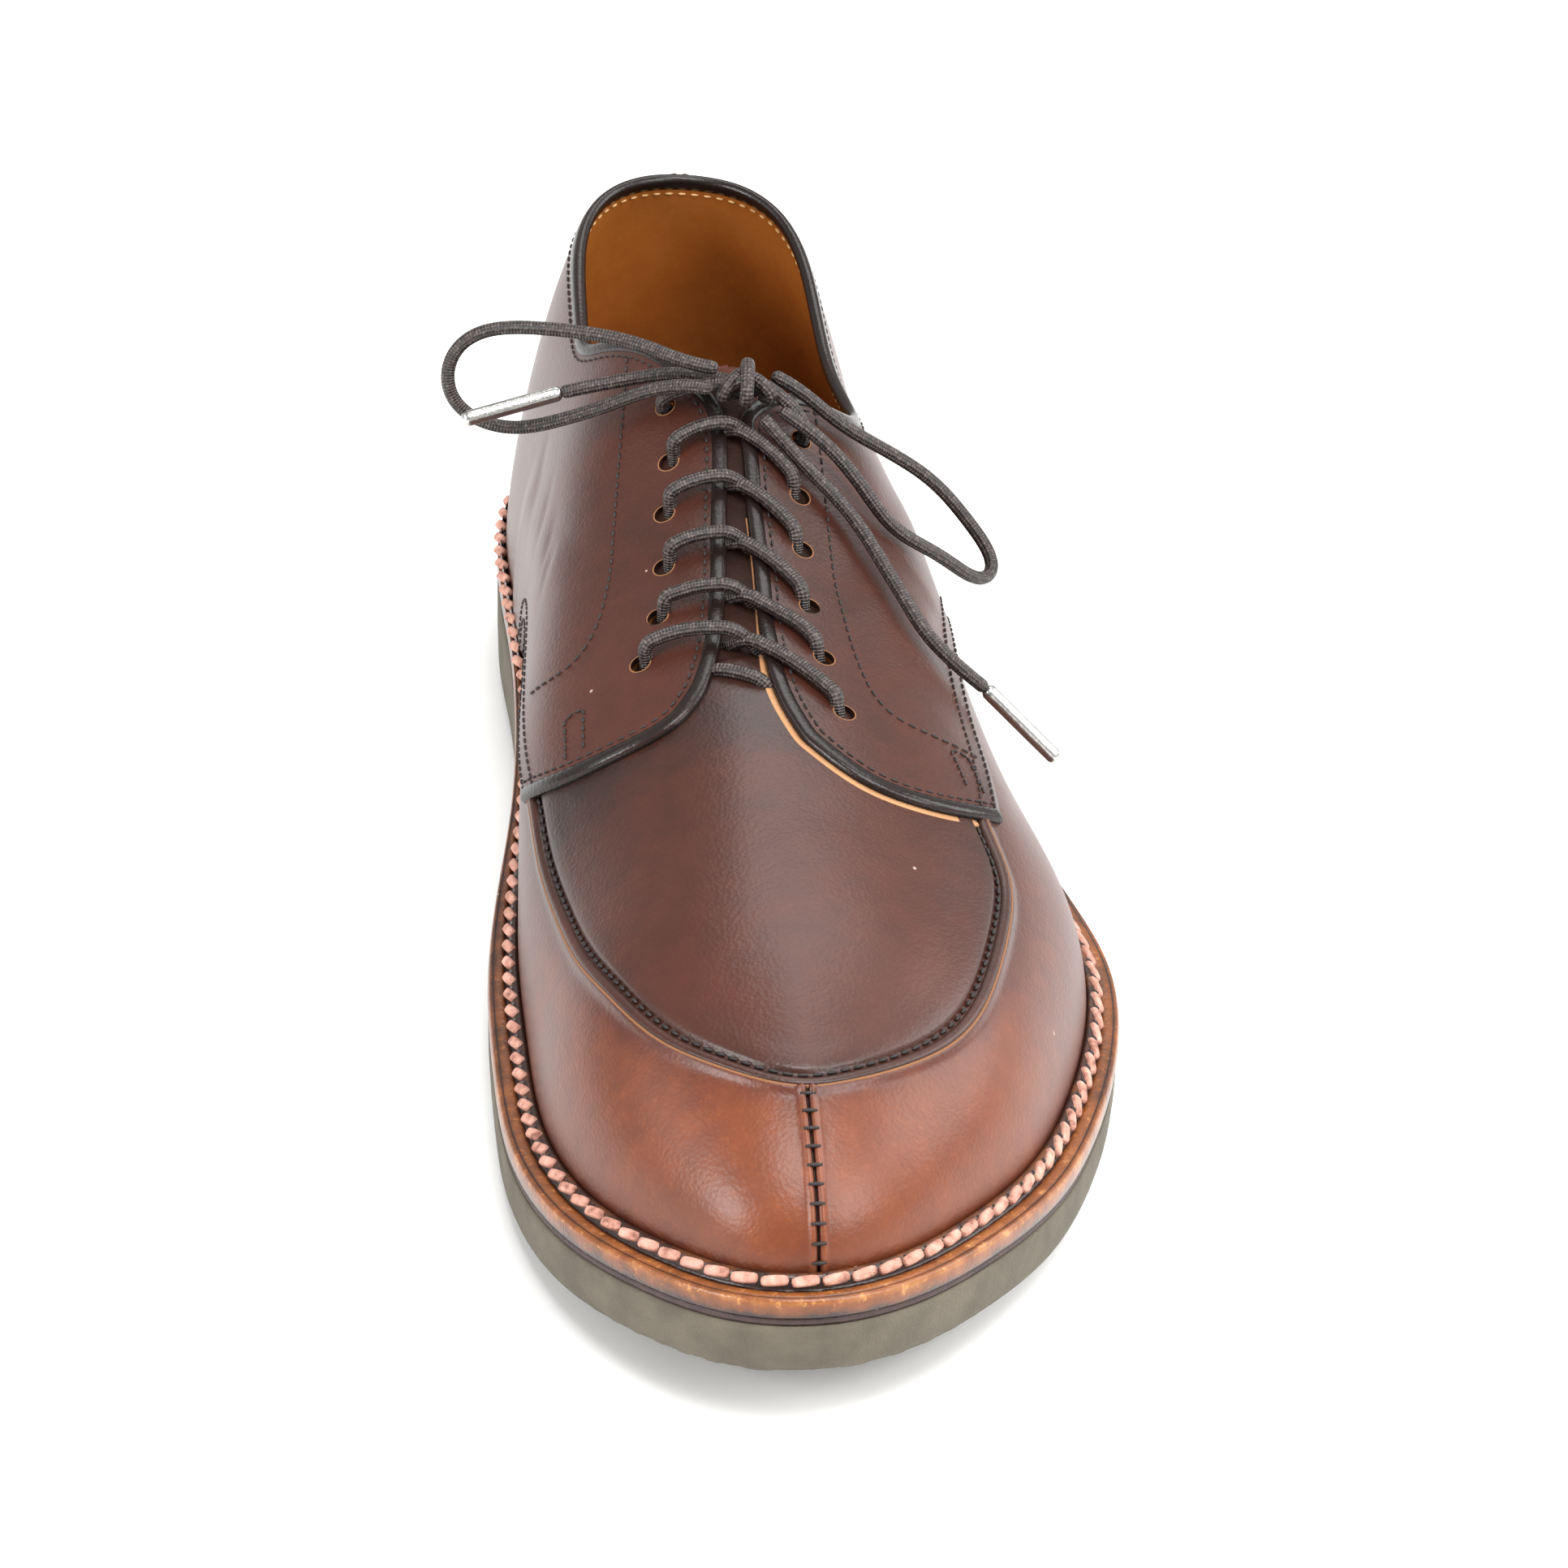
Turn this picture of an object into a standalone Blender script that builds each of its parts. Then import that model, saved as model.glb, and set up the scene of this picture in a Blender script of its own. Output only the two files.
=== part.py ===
"""Apron toe derby, left shoe: welted leather upper on a one-piece wedge sole.

Toe to -Y, outer side of the foot to +X, floor at z = 0, metres.
The shape of the last is a closed loop of ribs: each one climbs from the feather line
to the ridge of the instep, and every piece of the upper is measured from it.
"""
import bmesh
import bpy
import numpy as np
from mathutils import Matrix, Vector

for old in list(bpy.data.objects):
    bpy.data.objects.remove(old, do_unlink=True)

# Sizes of the sole
SOLE_LENGTH = 0.300
SOLE_WIDTH = 0.1138
SEAT_HEIGHT = 0.028
TOE_SPRING = 0.0137
ARCH_LIFT = 0.0015
WELT_REACH = 0.0075
WELT_THICKNESS = 0.0032
WELT_RIDGE_HEIGHT = 0.0030
WELT_RIDGE_WIDTH = 0.0024
WELT_LAP = 0.0040
WELT_ROUND = 0.0005
MIDSOLE_THICKNESS = 0.0012
INSOLE_THICKNESS = 0.0030
INSOLE_PLAY = 0.0012
TREAD_TAPER = 0.0008
MIDSOLE_INSET = 0.0004
SIDE_BREAK = 0.35

# Sizes of the upper
LAST_HEIGHT = 0.107
BULGE = 0.009
VAMP_WALL = 0.0016
QUARTER_WALL = 0.0019
LAP_LIFT = 0.0008
LAP_WIDTH = 0.010
SEAM_RAISE = 0.0012
SEAM_WIDTH = 0.0022
BINDING_WIDTH = 0.0032
BINDING_RAISE = 0.0006
BINDING_SLOPE = 0.0008
TOE_SEAM_RAISE = 0.0010
EYELET_DIAMETER = 0.0036
PUNCH_DEPTH = 0.009
TONGUE_WALL = 0.0016
TONGUE_PLAY = 0.0009

# Sizes of the lace
LACE = 0.0030
LACE_REST = 0.00035
LACE_CROSS_ADVANCE = 0.003
LACE_OVERRUN = 0.005
KNOT_WIDTH = 0.0094
KNOT_LENGTH = 0.0096
KNOT_HEIGHT = 0.0072
KNOT_CENTRE = (-0.0022, 0.0405, 0.0960)
KNOT_TILT = 0.45
AGLET_LENGTH = 0.019
AGLET_DIAMETER = 0.0036
CORD_STEP = 2.6
MM = 0.001

# Clearance between pieces that touch on the real shoe; the welt stands a little further from the wall
GAP = 0.0003
WELT_GAP = 0.0005

# Loop of the sole's edge and of the ribs, from the back of the heel along the outer side
# to the toe and back along the inner side.
# along: share of SOLE_LENGTH, toe negative; out: share of SOLE_WIDTH; reach: share of WELT_REACH;
# square: how square the rib is; bulge: share of BULGE; ridge: share of SOLE_LENGTH where the rib ends
TOE_ROW = 14
RIBS = [
    (0.500, 0.026, 0.47, 3.30, 0.22, 0.330),
    (0.462, 0.258, 0.47, 2.30, 0.20, 0.310),
    (0.370, 0.342, 0.47, 1.62, 0.20, 0.270),
    (0.280, 0.360, 0.51, 1.55, 0.22, 0.225),
    (0.190, 0.392, 0.60, 1.78, 0.33, 0.165),
    (0.110, 0.432, 0.73, 1.85, 0.33, 0.105),
    (0.030, 0.472, 0.87, 1.85, 0.22, 0.040),
    (-0.050, 0.518, 1.00, 1.82, 0.17, -0.030),
    (-0.125, 0.552, 1.00, 1.88, 0.11, -0.095),
    (-0.210, 0.528, 1.00, 1.95, 0.17, -0.160),
    (-0.295, 0.456, 1.00, 2.10, 0.17, -0.215),
    (-0.375, 0.355, 1.00, 2.25, 0.17, -0.255),
    (-0.440, 0.220, 1.00, 2.25, 0.17, -0.283),
    (-0.484, 0.085, 1.00, 2.25, 0.17, -0.300),
    (-0.500, -0.040, 1.00, 2.25, 0.17, -0.308),
    (-0.490, -0.165, 1.00, 2.25, 0.17, -0.303),
    (-0.452, -0.275, 1.00, 2.25, 0.17, -0.288),
    (-0.390, -0.376, 1.00, 2.25, 0.17, -0.260),
    (-0.295, -0.440, 1.00, 2.10, 0.17, -0.215),
    (-0.200, -0.446, 1.00, 1.95, 0.22, -0.155),
    (-0.115, -0.436, 0.93, 1.95, 0.44, -0.090),
    (-0.030, -0.405, 0.80, 2.00, 0.89, -0.020),
    (0.060, -0.362, 0.67, 2.00, 1.00, 0.060),
    (0.150, -0.335, 0.60, 1.90, 0.78, 0.130),
    (0.240, -0.325, 0.51, 1.70, 0.50, 0.195),
    (0.330, -0.326, 0.47, 1.60, 0.28, 0.250),
    (0.420, -0.280, 0.47, 1.90, 0.20, 0.295),
    (0.482, -0.150, 0.47, 2.80, 0.20, 0.322),
]

# Ridge of the instep. along: share of SOLE_LENGTH; up: share of LAST_HEIGHT; out: share of SOLE_WIDTH
RIDGE = [
    (-0.50, 0.440, -0.036),
    (-0.40, 0.484, -0.036),
    (-0.32, 0.525, -0.036),
    (-0.25, 0.557, -0.035),
    (-0.15, 0.598, -0.032),
    (-0.05, 0.650, -0.024),
    (0.05, 0.724, -0.004),
    (0.13, 0.813, 0.014),
    (0.20, 0.907, 0.020),
    (0.28, 0.972, 0.022),
    (0.50, 1.000, 0.026),
]

# Side view of the sole. along: share of SOLE_LENGTH; spring: share of TOE_SPRING; arch: share of ARCH_LIFT;
# seat: height of the upper's seat above the tread, share of SEAT_HEIGHT
PROFILE = [
    (-0.50, 1.000, 0.0, 0.518),
    (-0.42, 0.628, 0.0, 0.521),
    (-0.33, 0.277, 0.0, 0.536),
    (-0.25, 0.060, 0.0, 0.560),
    (-0.20, 0.000, 0.0, 0.571),
    (-0.05, 0.000, 0.0, 0.614),
    (0.08, 0.000, 0.8, 0.732),
    (0.16, 0.000, 1.0, 0.820),
    (0.24, 0.000, 0.5, 0.893),
    (0.30, 0.000, 0.0, 0.936),
    (0.40, 0.000, 0.0, 0.975),
    (0.50, 0.000, 0.0, 1.000),
]

# Seam of the apron, from the facing's outer corner round the toe to the inner corner.
# out: share of SOLE_WIDTH; along: share of SOLE_LENGTH; up: share of LAST_HEIGHT
APRON_SEAM = [
    (0.330, -0.090, 0.480),
    (0.319, -0.157, 0.470),
    (0.332, -0.189, 0.444),
    (0.318, -0.234, 0.432),
    (0.269, -0.295, 0.431),
    (0.179, -0.356, 0.432),
    (0.060, -0.390, 0.448),
    (-0.040, -0.402, 0.455),
    (-0.123, -0.389, 0.456),
    (-0.217, -0.353, 0.448),
    (-0.285, -0.293, 0.434),
    (-0.318, -0.240, 0.408),
    (-0.331, -0.186, 0.386),
    (-0.343, -0.117, 0.384),
    (-0.344, -0.072, 0.402),
    (-0.342, 0.000, 0.410),
]

# Edge where the vamp ends, hidden under the quarters: outer side, then inner side
VAMP_EDGE_OUTER = [(0.000, -0.055, 0.655), (0.110, -0.035, 0.640), (0.240, 0.010, 0.600), (0.330, 0.090, 0.560),
                   (0.350, 0.160, 0.500), (0.340, 0.215, 0.430)]
VAMP_EDGE_INNER = [(-0.048, -0.055, 0.655), (-0.130, -0.035, 0.640), (-0.240, 0.020, 0.600), (-0.320, 0.100, 0.520),
                   (-0.345, 0.170, 0.460), (-0.330, 0.235, 0.420)]

# Share of a facing's first column that its binding takes
BOUND_SHARE = 0.24

# Columns of the quarters, from the outer facing's lower corner round the heel to the inner facing's.
# low_*: lower edge, up 0 meaning the feather line; top_*: edge of the facing or of the collar.
# out: share of SOLE_WIDTH; along: share of SOLE_LENGTH; up: share of LAST_HEIGHT
QUARTER_COLUMNS = [
    (0.343, -0.142, 0.455, 0.043, -0.127, 0.603),
    (0.345, -0.112, 0.456, 0.020, -0.098, 0.620),
    (0.347, -0.075, 0.456, 0.008, -0.064, 0.640),
    (0.346, -0.025, 0.458, 0.010, -0.015, 0.672),
    (0.346, 0.020, 0.460, 0.016, 0.033, 0.708),
    (0.350, 0.058, 0.455, 0.019, 0.078, 0.752),
    (0.356, 0.090, 0.445, 0.023, 0.120, 0.800),
    (0.360, 0.108, 0.430, 0.028, 0.137, 0.825),
    (0.362, 0.122, 0.410, 0.062, 0.149, 0.840),
    (0.366, 0.142, 0.365, 0.130, 0.163, 0.830),
    (0.370, 0.160, 0.290, 0.200, 0.176, 0.780),
    (0.372, 0.172, 0.000, 0.236, 0.194, 0.742),
    (0.370, 0.215, 0.000, 0.248, 0.232, 0.728),
    (0.355, 0.290, 0.000, 0.235, 0.300, 0.742),
    (0.325, 0.375, 0.000, 0.190, 0.385, 0.785),
    (0.215, 0.452, 0.000, 0.110, 0.450, 0.832),
    (0.030, 0.487, 0.000, 0.022, 0.474, 0.855),
    (-0.130, 0.468, 0.000, -0.070, 0.450, 0.842),
    (-0.250, 0.405, 0.000, -0.155, 0.390, 0.812),
    (-0.292, 0.335, 0.000, -0.210, 0.325, 0.792),
    (-0.295, 0.270, 0.000, -0.222, 0.282, 0.798),
    (-0.300, 0.215, 0.000, -0.180, 0.255, 0.832),
    (-0.330, 0.200, 0.290, -0.120, 0.226, 0.858),
    (-0.340, 0.180, 0.350, -0.062, 0.188, 0.866),
    (-0.345, 0.150, 0.385, -0.026, 0.164, 0.850),
    (-0.347, 0.128, 0.392, -0.006, 0.148, 0.835),
    (-0.350, 0.095, 0.392, -0.002, 0.112, 0.793),
    (-0.352, 0.050, 0.392, -0.018, 0.062, 0.735),
    (-0.352, 0.012, 0.392, -0.030, 0.022, 0.700),
    (-0.351, -0.025, 0.392, -0.046, -0.020, 0.668),
    (-0.350, -0.042, 0.392, -0.064, -0.054, 0.645),
    (-0.349, -0.057, 0.392, -0.085, -0.078, 0.625),
]

# Front edges of the two facings between those corners
FACING_FRONT_OUTER = [(0.343, -0.142, 0.455), (0.233, -0.165, 0.523), (0.141, -0.163, 0.563), (0.043, -0.127, 0.603)]
FACING_FRONT_INNER = [(-0.349, -0.057, 0.392), (-0.304, -0.088, 0.470), (-0.238, -0.103, 0.533),
                      (-0.128, -0.100, 0.601), (-0.085, -0.078, 0.625)]

# Eyelets from the ankle to the toe. out: share of SOLE_WIDTH; along: share of SOLE_LENGTH; up: share of LAST_HEIGHT
EYELETS_OUTER = [(0.118, 0.130, 0.780), (0.104, 0.085, 0.736), (0.095, 0.042, 0.696), (0.091, -0.006, 0.659),
                 (0.097, -0.052, 0.628), (0.113, -0.100, 0.599)]
EYELETS_INNER = [(-0.082, 0.158, 0.813), (-0.089, 0.116, 0.764), (-0.106, 0.078, 0.720), (-0.119, 0.035, 0.682),
                 (-0.138, -0.007, 0.647), (-0.172, -0.040, 0.611)]

# Routes of the bow's loops and ends, from the knot outwards: x, y, z in millimetres, chosen by eye
LOOP_MEDIAL = [(-7.0, 42.4, 98.2), (-12.0, 44.2, 98.4), (-18.2, 49.0, 99.2), (-24.5, 53.0, 99.7), (-33.5, 57.0, 99.6),
               (-44.2, 59.0, 99.8), (-51.7, 60.0, 98.0), (-55.9, 60.0, 93.0), (-56.5, 59.0, 87.9), (-54.5, 58.0, 83.6),
               (-50.3, 57.0, 81.1), (-44.4, 56.0, 79.8), (-36.1, 54.5, 82.0), (-28.0, 50.5, 86.6), (-20.4, 44.9, 92.7),
               (-16.5, 41.0, 95.6), (-12.6, 38.8, 97.0), (-8.6, 37.4, 96.6)]
END_MEDIAL = [(-7.6, 45.4, 94.8), (-11.0, 47.2, 94.8), (-16.7, 50.2, 93.6), (-21.2, 52.0, 91.9), (-25.7, 53.0, 90.6),
              (-30.6, 53.8, 89.4), (-35.4, 54.0, 88.2)]
AGLET_MEDIAL = [(-35.8, 54.0, 88.1), (-53.6, 50.2, 85.2)]
LOOP_LATERAL = [(3.0, 42.4, 96.6), (7.6, 43.6, 93.4), (13.5, 43.6, 87.8), (18.8, 44.8, 83.0), (23.2, 46.2, 79.6),
                (27.5, 47.0, 76.5), (35.4, 46.0, 70.9), (41.3, 44.0, 64.1), (45.5, 41.0, 58.9), (46.9, 38.6, 55.6),
                (44.6, 35.6, 54.9), (38.2, 32.4, 59.8), (30.5, 29.5, 66.6), (23.2, 27.7, 72.9), (19.3, 29.8, 78.6),
                (14.5, 32.8, 84.2), (10.1, 33.9, 88.6), (6.9, 35.2, 90.6), (3.9, 36.9, 92.2)]
END_LATERAL = [(0.2, 35.9, 91.6), (2.8, 33.8, 89.2), (5.4, 31.4, 86.8), (8.1, 28.5, 84.3), (14.3, 23.8, 79.1),
               (18.5, 18.2, 74.5), (20.4, 13.6, 72.2), (22.4, 9.4, 69.9), (24.4, 5.4, 67.5), (26.3, 1.0, 64.9),
               (28.7, -0.6, 62.4), (31.6, -1.2, 59.5), (38.5, -1.0, 52.9)]
AGLET_LATERAL = [(38.9, -1.1, 52.5), (49.8, -4.2, 41.6)]

TONGUE_FRONT = -0.105
TONGUE_TOP = 0.172
TONGUE_HALF_WIDTH = 0.026


def spline(knots, values, period=None):
    """Smooth cubic curve through the values, closed where a period is given."""
    knots = np.asarray(knots, float)
    values = np.asarray(values, float)
    count = len(knots)
    spans = np.diff(knots)
    if period is not None:
        spans = np.append(spans, period - (knots[-1] - knots[0]))
    system = np.eye(count)
    right = np.zeros(values.shape)
    inner = range(count) if period is not None else range(1, count - 1)
    for i in inner:
        before, after = spans[i - 1], spans[i]
        following = (i + 1) % count
        system[i] = 0.0
        system[i, i - 1] = before
        system[i, i] = 2 * (before + after)
        system[i, following] += after
        rise = (values[following] - values[i]) / after
        right[i] = 6 * (rise - (values[i] - values[i - 1]) / before)
    bend = np.linalg.solve(system, right)

    def at(where):
        where = np.asarray(where, float)
        if period is not None:
            where = (where - knots[0]) % period + knots[0]
        last_span = count - 1 if period is not None else count - 2
        i = np.clip(np.searchsorted(knots, where, side="right") - 1, 0, last_span)
        j = (i + 1) % count
        shape = (...,) + (None,) * (values.ndim - 1)
        span = spans[i][shape]
        past = (where - knots[i])[shape]
        left = span - past
        return ((bend[i] * left**3 + bend[j] * past**3) / (6 * span)
                + (values[i] / span - bend[i] * span / 6) * left
                + (values[j] / span - bend[j] * span / 6) * past)

    return at


def chord_knots(points):
    """Distances along a run of points, from 0 to 1."""
    steps = np.linalg.norm(np.diff(points, axis=0), axis=1)
    return np.append(0.0, np.cumsum(steps)) / steps.sum()


ribs = np.array(RIBS)
edge_points = np.column_stack([ribs[:, 1] * SOLE_WIDTH, ribs[:, 0] * SOLE_LENGTH])
loop_knots = chord_knots(np.vstack([edge_points, edge_points[:1]]))[:-1]
raw_edge = spline(loop_knots, edge_points, period=1.0)
dense = raw_edge(np.linspace(0.0, 1.0, 2001))
CENTRE = (dense.max(axis=0) + dense.min(axis=0)) / 2
rib_traits = spline(loop_knots, ribs[:, 2:], period=1.0)
TOE = loop_knots[TOE_ROW]
LOOP_LENGTH = np.linalg.norm(np.diff(dense, axis=0), axis=1).sum()

ridge_rows = np.array(RIDGE)
ridge_line = spline(ridge_rows[:, 0] * SOLE_LENGTH,
                    np.column_stack([ridge_rows[:, 1] * LAST_HEIGHT, ridge_rows[:, 2] * SOLE_WIDTH - CENTRE[0]]))
profile_rows = np.array(PROFILE)
tread_rise = profile_rows[:, 1] * TOE_SPRING + profile_rows[:, 2] * ARCH_LIFT
seat_rise = profile_rows[:, 1] * TOE_SPRING + profile_rows[:, 3] * SEAT_HEIGHT
sole_profile = spline(profile_rows[:, 0] * SOLE_LENGTH, np.column_stack([tread_rise, seat_rise]))


def tread_height(y):
    """Height of the tread above the floor."""
    return np.maximum(sole_profile(y)[..., 0], 0.0)


def seat_height(y):
    """Height of the seat that carries the upper."""
    return sole_profile(y)[..., 1]


def edge(u):
    """Plan of the sole's edge at a share of the loop."""
    return raw_edge(u) - CENTRE


def inward(u):
    """Level direction from the edge into the shoe."""
    step = 1e-4
    run = edge(np.asarray(u) + step) - edge(np.asarray(u) - step)
    run /= np.linalg.norm(run, axis=-1, keepdims=True)
    return np.stack([run[..., 1], -run[..., 0]], -1)


def last(u, t):
    """Point of the last: u runs round the loop, t climbs the rib from the feather to the ridge."""
    u, t = np.broadcast_arrays(np.asarray(u, float), np.asarray(t, float))
    traits = rib_traits(u)
    reach, square, bulge, ridge_share = np.moveaxis(traits, -1, 0)
    foot = edge(u) + inward(u) * (reach * WELT_REACH)[..., None]
    ridge_y = ridge_share * SOLE_LENGTH
    ridge_z, ridge_x = np.moveaxis(ridge_line(ridge_y), -1, 0)
    slope = ridge_slope(ridge_y)
    run = np.stack([ridge_x, ridge_y], -1) - foot
    length = np.linalg.norm(run, axis=-1)
    turn = t * np.pi / 2
    across = length * (1 - np.cos(turn).clip(0) ** (2 / square)) - bulge * BULGE * np.sin(np.pi * t) ** 2 * (1 - t)
    plan = foot + run * (across / length)[..., None]
    low = seat_height(foot[..., 1]) + GAP
    lid = ridge_z + slope * (plan[..., 1] - ridge_y)
    height = low + (lid - low) * np.sin(turn) ** (2 / square)
    return np.concatenate([plan, height[..., None]], -1)


def ridge_slope(y):
    """Slope of the ridge along the shoe."""
    step = 1e-4
    return (ridge_line(y + step)[..., 0] - ridge_line(y - step)[..., 0]) / (2 * step)


def outward(u, t):
    """Direction that points out of the last."""
    step = 1e-3
    u, t = np.broadcast_arrays(np.asarray(u, float), np.asarray(t, float))
    round_loop = last(u - step, t) - last(u + step, t)
    up_rib = last(u, np.minimum(t + step, 1.0)) - last(u, np.maximum(t - step, 0.0))
    normal = np.cross(round_loop, up_rib)
    normal /= np.linalg.norm(normal, axis=-1, keepdims=True)
    ridge_y = rib_traits(u)[..., 3] * SOLE_LENGTH
    crest = np.stack([np.zeros_like(ridge_y), -ridge_slope(ridge_y), np.ones_like(ridge_y)], -1)
    crest /= np.linalg.norm(crest, axis=-1, keepdims=True)
    return np.where((t > 0.995)[..., None], crest, normal)


def off_last(u, t, distance):
    """Point at a distance outside the last."""
    return last(u, t) + outward(u, t) * np.asarray(distance)[..., None]


def seated(points, t):
    """Points with those of the feather line laid on the sole's seat."""
    points = points.copy()
    down = np.isclose(t, 0.0)
    points[down, 2] = seat_height(points[down, 1]) + GAP
    return points


def rib_length(u):
    """Length of a rib from the feather to the ridge."""
    path = last(np.asarray(u)[..., None], np.linspace(0, 1, 21))
    return np.linalg.norm(np.diff(path, axis=-2), axis=-1).sum(axis=-1)


net_u, net_t = np.meshgrid(np.linspace(0, 1, 361)[:-1], np.linspace(0, 1, 91), indexing="ij")
net = last(net_u, net_t)


def snap(rows):
    """Loop and rib shares of the last's nearest points to rows of out, along and up shares."""
    rows = np.asarray(rows, float)
    sides = np.sign(rows[:, 0] - np.interp(rows[:, 1], ridge_rows[:, 0], ridge_rows[:, 2]))
    targets = rows * (SOLE_WIDTH, SOLE_LENGTH, LAST_HEIGHT) - (CENTRE[0], CENTRE[1], 0.0)
    found = []
    for target, side, up in zip(targets, sides, rows[:, 2]):
        far = np.linalg.norm(net - target, axis=-1)
        if up == 0.0:
            far = np.where(net_t > 0, 9.0, np.linalg.norm(net[..., :2] - target[:2], axis=-1))
        far = np.where((net_u < TOE) == (side > 0), far, 9.0)
        best = np.unravel_index(np.argmin(far), far.shape)
        uv = np.array([net_u[best], net_t[best]])
        for _ in range(6):
            if up == 0.0:
                break
            step = 1e-4
            high = min(uv[1] + step, 1.0)
            slopes = np.column_stack([(last(uv[0] + step, uv[1]) - last(uv[0] - step, uv[1])) / (2 * step),
                                      (last(uv[0], high) - last(uv[0], high - 2 * step)) / (2 * step)])
            move = np.linalg.lstsq(slopes, target - last(*uv), rcond=None)[0]
            uv = uv + np.clip(move, -0.01, 0.01)
            uv[1] = min(max(uv[1], 0.0), 1.0)
        found.append(uv)
    return np.array(found)


def edge_curve(rows):
    """Rib share of a line on the last as a function of the loop share."""
    uv = snap(rows)
    uv = uv[np.argsort(uv[:, 0])]
    curve = spline(uv[:, 0], uv[:, 1])
    return lambda u: curve(np.clip(u, uv[0, 0], uv[-1, 0])), uv[0, 0], uv[-1, 0]


def smooth_step(x):
    """Rise from 0 to 1 without corners."""
    x = np.clip(x, 0.0, 1.0)
    return x * x * (3 - 2 * x)


def ridge_partner(share, inner_side):
    """Loop share on one side of the shoe whose rib ends at a share of the ridge."""
    low, high = (TOE, loop_knots[-1]) if inner_side else (0.0, TOE)
    u = np.linspace(low, high, 1200)
    ends = rib_traits(u)[:, 3]
    return np.interp(share, ends, u) if inner_side else np.interp(-share, -ends, u)


parts = bpy.data.collections.new("apron_toe_derby")
cutters = bpy.data.collections.new("cutters")


def material(name, colour, roughness, metallic=0.0):
    """Principled material of one piece."""
    made = bpy.data.materials.new(name)
    made.use_nodes = True
    shader = made.node_tree.nodes["Principled BSDF"]
    shader.inputs["Base Color"].default_value = (*colour, 1.0)
    shader.inputs["Roughness"].default_value = roughness
    shader.inputs["Metallic"].default_value = metallic
    return made


def add_mesh(name, vertices, faces, finish, collection=None):
    """Object from a loft's points and faces, welded and with its faces out."""
    mesh = bpy.data.meshes.new(name)
    mesh.from_pydata([tuple(v) for v in vertices], [], faces)
    work = bmesh.new()
    work.from_mesh(mesh)
    bmesh.ops.remove_doubles(work, verts=work.verts, dist=1e-6)
    bmesh.ops.recalc_face_normals(work, faces=work.faces)
    work.to_mesh(mesh)
    work.free()
    if finish:
        mesh.materials.append(finish)
    mesh.shade_smooth()
    made = bpy.data.objects.new(name, mesh)
    (collection or parts).objects.link(made)
    return made


def shell(name, outside, inside, finish, open_top=None, collection=None):
    """Solid wall between two nets of points, columns by rows.

    open_top says which columns run to the ridge, where the two halves join and need no rim.
    """
    columns, rows = outside.shape[:2]
    count = columns * rows
    vertices = np.concatenate([outside.reshape(-1, 3), inside.reshape(-1, 3)])
    faces = []
    for c in range(columns - 1):
        for r in range(rows - 1):
            a = c * rows + r
            faces.append((a, a + rows, a + rows + 1, a + 1))
            faces.append((count + a, count + a + 1, count + a + rows + 1, count + a + rows))
        low = c * rows
        faces.append((low, count + low, count + low + rows, low + rows))
        joined = open_top is not None and open_top[c] and open_top[c + 1]
        if not joined:
            top = low + rows - 1
            faces.append((top, top + rows, count + top + rows, count + top))
    for r in range(rows - 1):
        first, final = r, (columns - 1) * rows + r
        faces.append((first, first + 1, count + first + 1, count + first))
        faces.append((final, count + final, count + final + 1, final + 1))
    return add_mesh(name, vertices, faces, finish, collection)


def plate(name, rings, finish):
    """Solid from stacked rings; each ring is an outer row and an inner row of points at the same stations."""
    stations = len(rings[0][0])
    loops = [np.concatenate([outer_row, inner_row[::-1]]) for outer_row, inner_row in rings]
    around = 2 * stations
    vertices = np.concatenate(loops)
    faces = []
    for level in range(len(loops) - 1):
        base = level * around
        for k in range(around):
            following = (k + 1) % around
            faces.append((base + k, base + following, base + around + following, base + around + k))
    for base in (0, (len(loops) - 1) * around):
        for k in range(stations - 1):
            faces.append((base + k, base + k + 1, base + around - 2 - k, base + around - 1 - k))
    return add_mesh(name, vertices, faces, finish)


def outline_rows(inset, stations):
    """Two rows of plan points, outer and inner side, of an outline at an inset from the sole's edge.

    inset is a function of the loop share. Both rows share their places along the shoe.
    """
    u = np.linspace(0, 1, 1601)
    plan = edge(u) + inward(u) * inset(u)[:, None]
    toe, heel = np.argmin(plan[:, 1]), np.argmax(plan[:, 1])
    plan = np.roll(plan[:-1], -heel, axis=0)
    toe = (toe - heel) % len(plan)
    outer_side, inner_side = plan[: toe + 1], np.vstack([plan[toe:], plan[:1]])
    turn = np.linspace(0, np.pi, stations)
    y = plan[toe, 1] + (plan[0, 1] - plan[toe, 1]) * (1 - np.cos(turn)) / 2
    y = (y + np.linspace(plan[toe, 1], plan[0, 1], stations)) / 2
    outer_x = np.interp(-y, -outer_side[:, 1], outer_side[:, 0])
    inner_x = np.interp(y, inner_side[:, 1], inner_side[:, 0])
    return np.column_stack([outer_x, y]), np.column_stack([inner_x, y])


def at_height(rows, height):
    """Rows of plan points lifted to a height that depends on their place along the shoe."""
    return tuple(np.column_stack([row, height(row[:, 1])]) for row in rows)


def foot_inset(u):
    """Distance from the sole's edge to the feather line."""
    return rib_traits(u)[..., 0] * WELT_REACH


seam_share, seam_start, seam_end = edge_curve(APRON_SEAM)
vamp_top_outer, vamp_back_outer, throat_outer = edge_curve(VAMP_EDGE_OUTER)
vamp_top_inner, throat_inner, vamp_back_inner = edge_curve(VAMP_EDGE_INNER)


def vamp_top(u):
    """Rib share where the vamp ends: under the quarters at the sides, at the ridge in front."""
    u = np.asarray(u, float)
    front = (u > throat_outer) & (u < throat_inner)
    return np.where(front, 1.0, np.where(u < TOE, vamp_top_outer(u), vamp_top_inner(u)))


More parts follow.
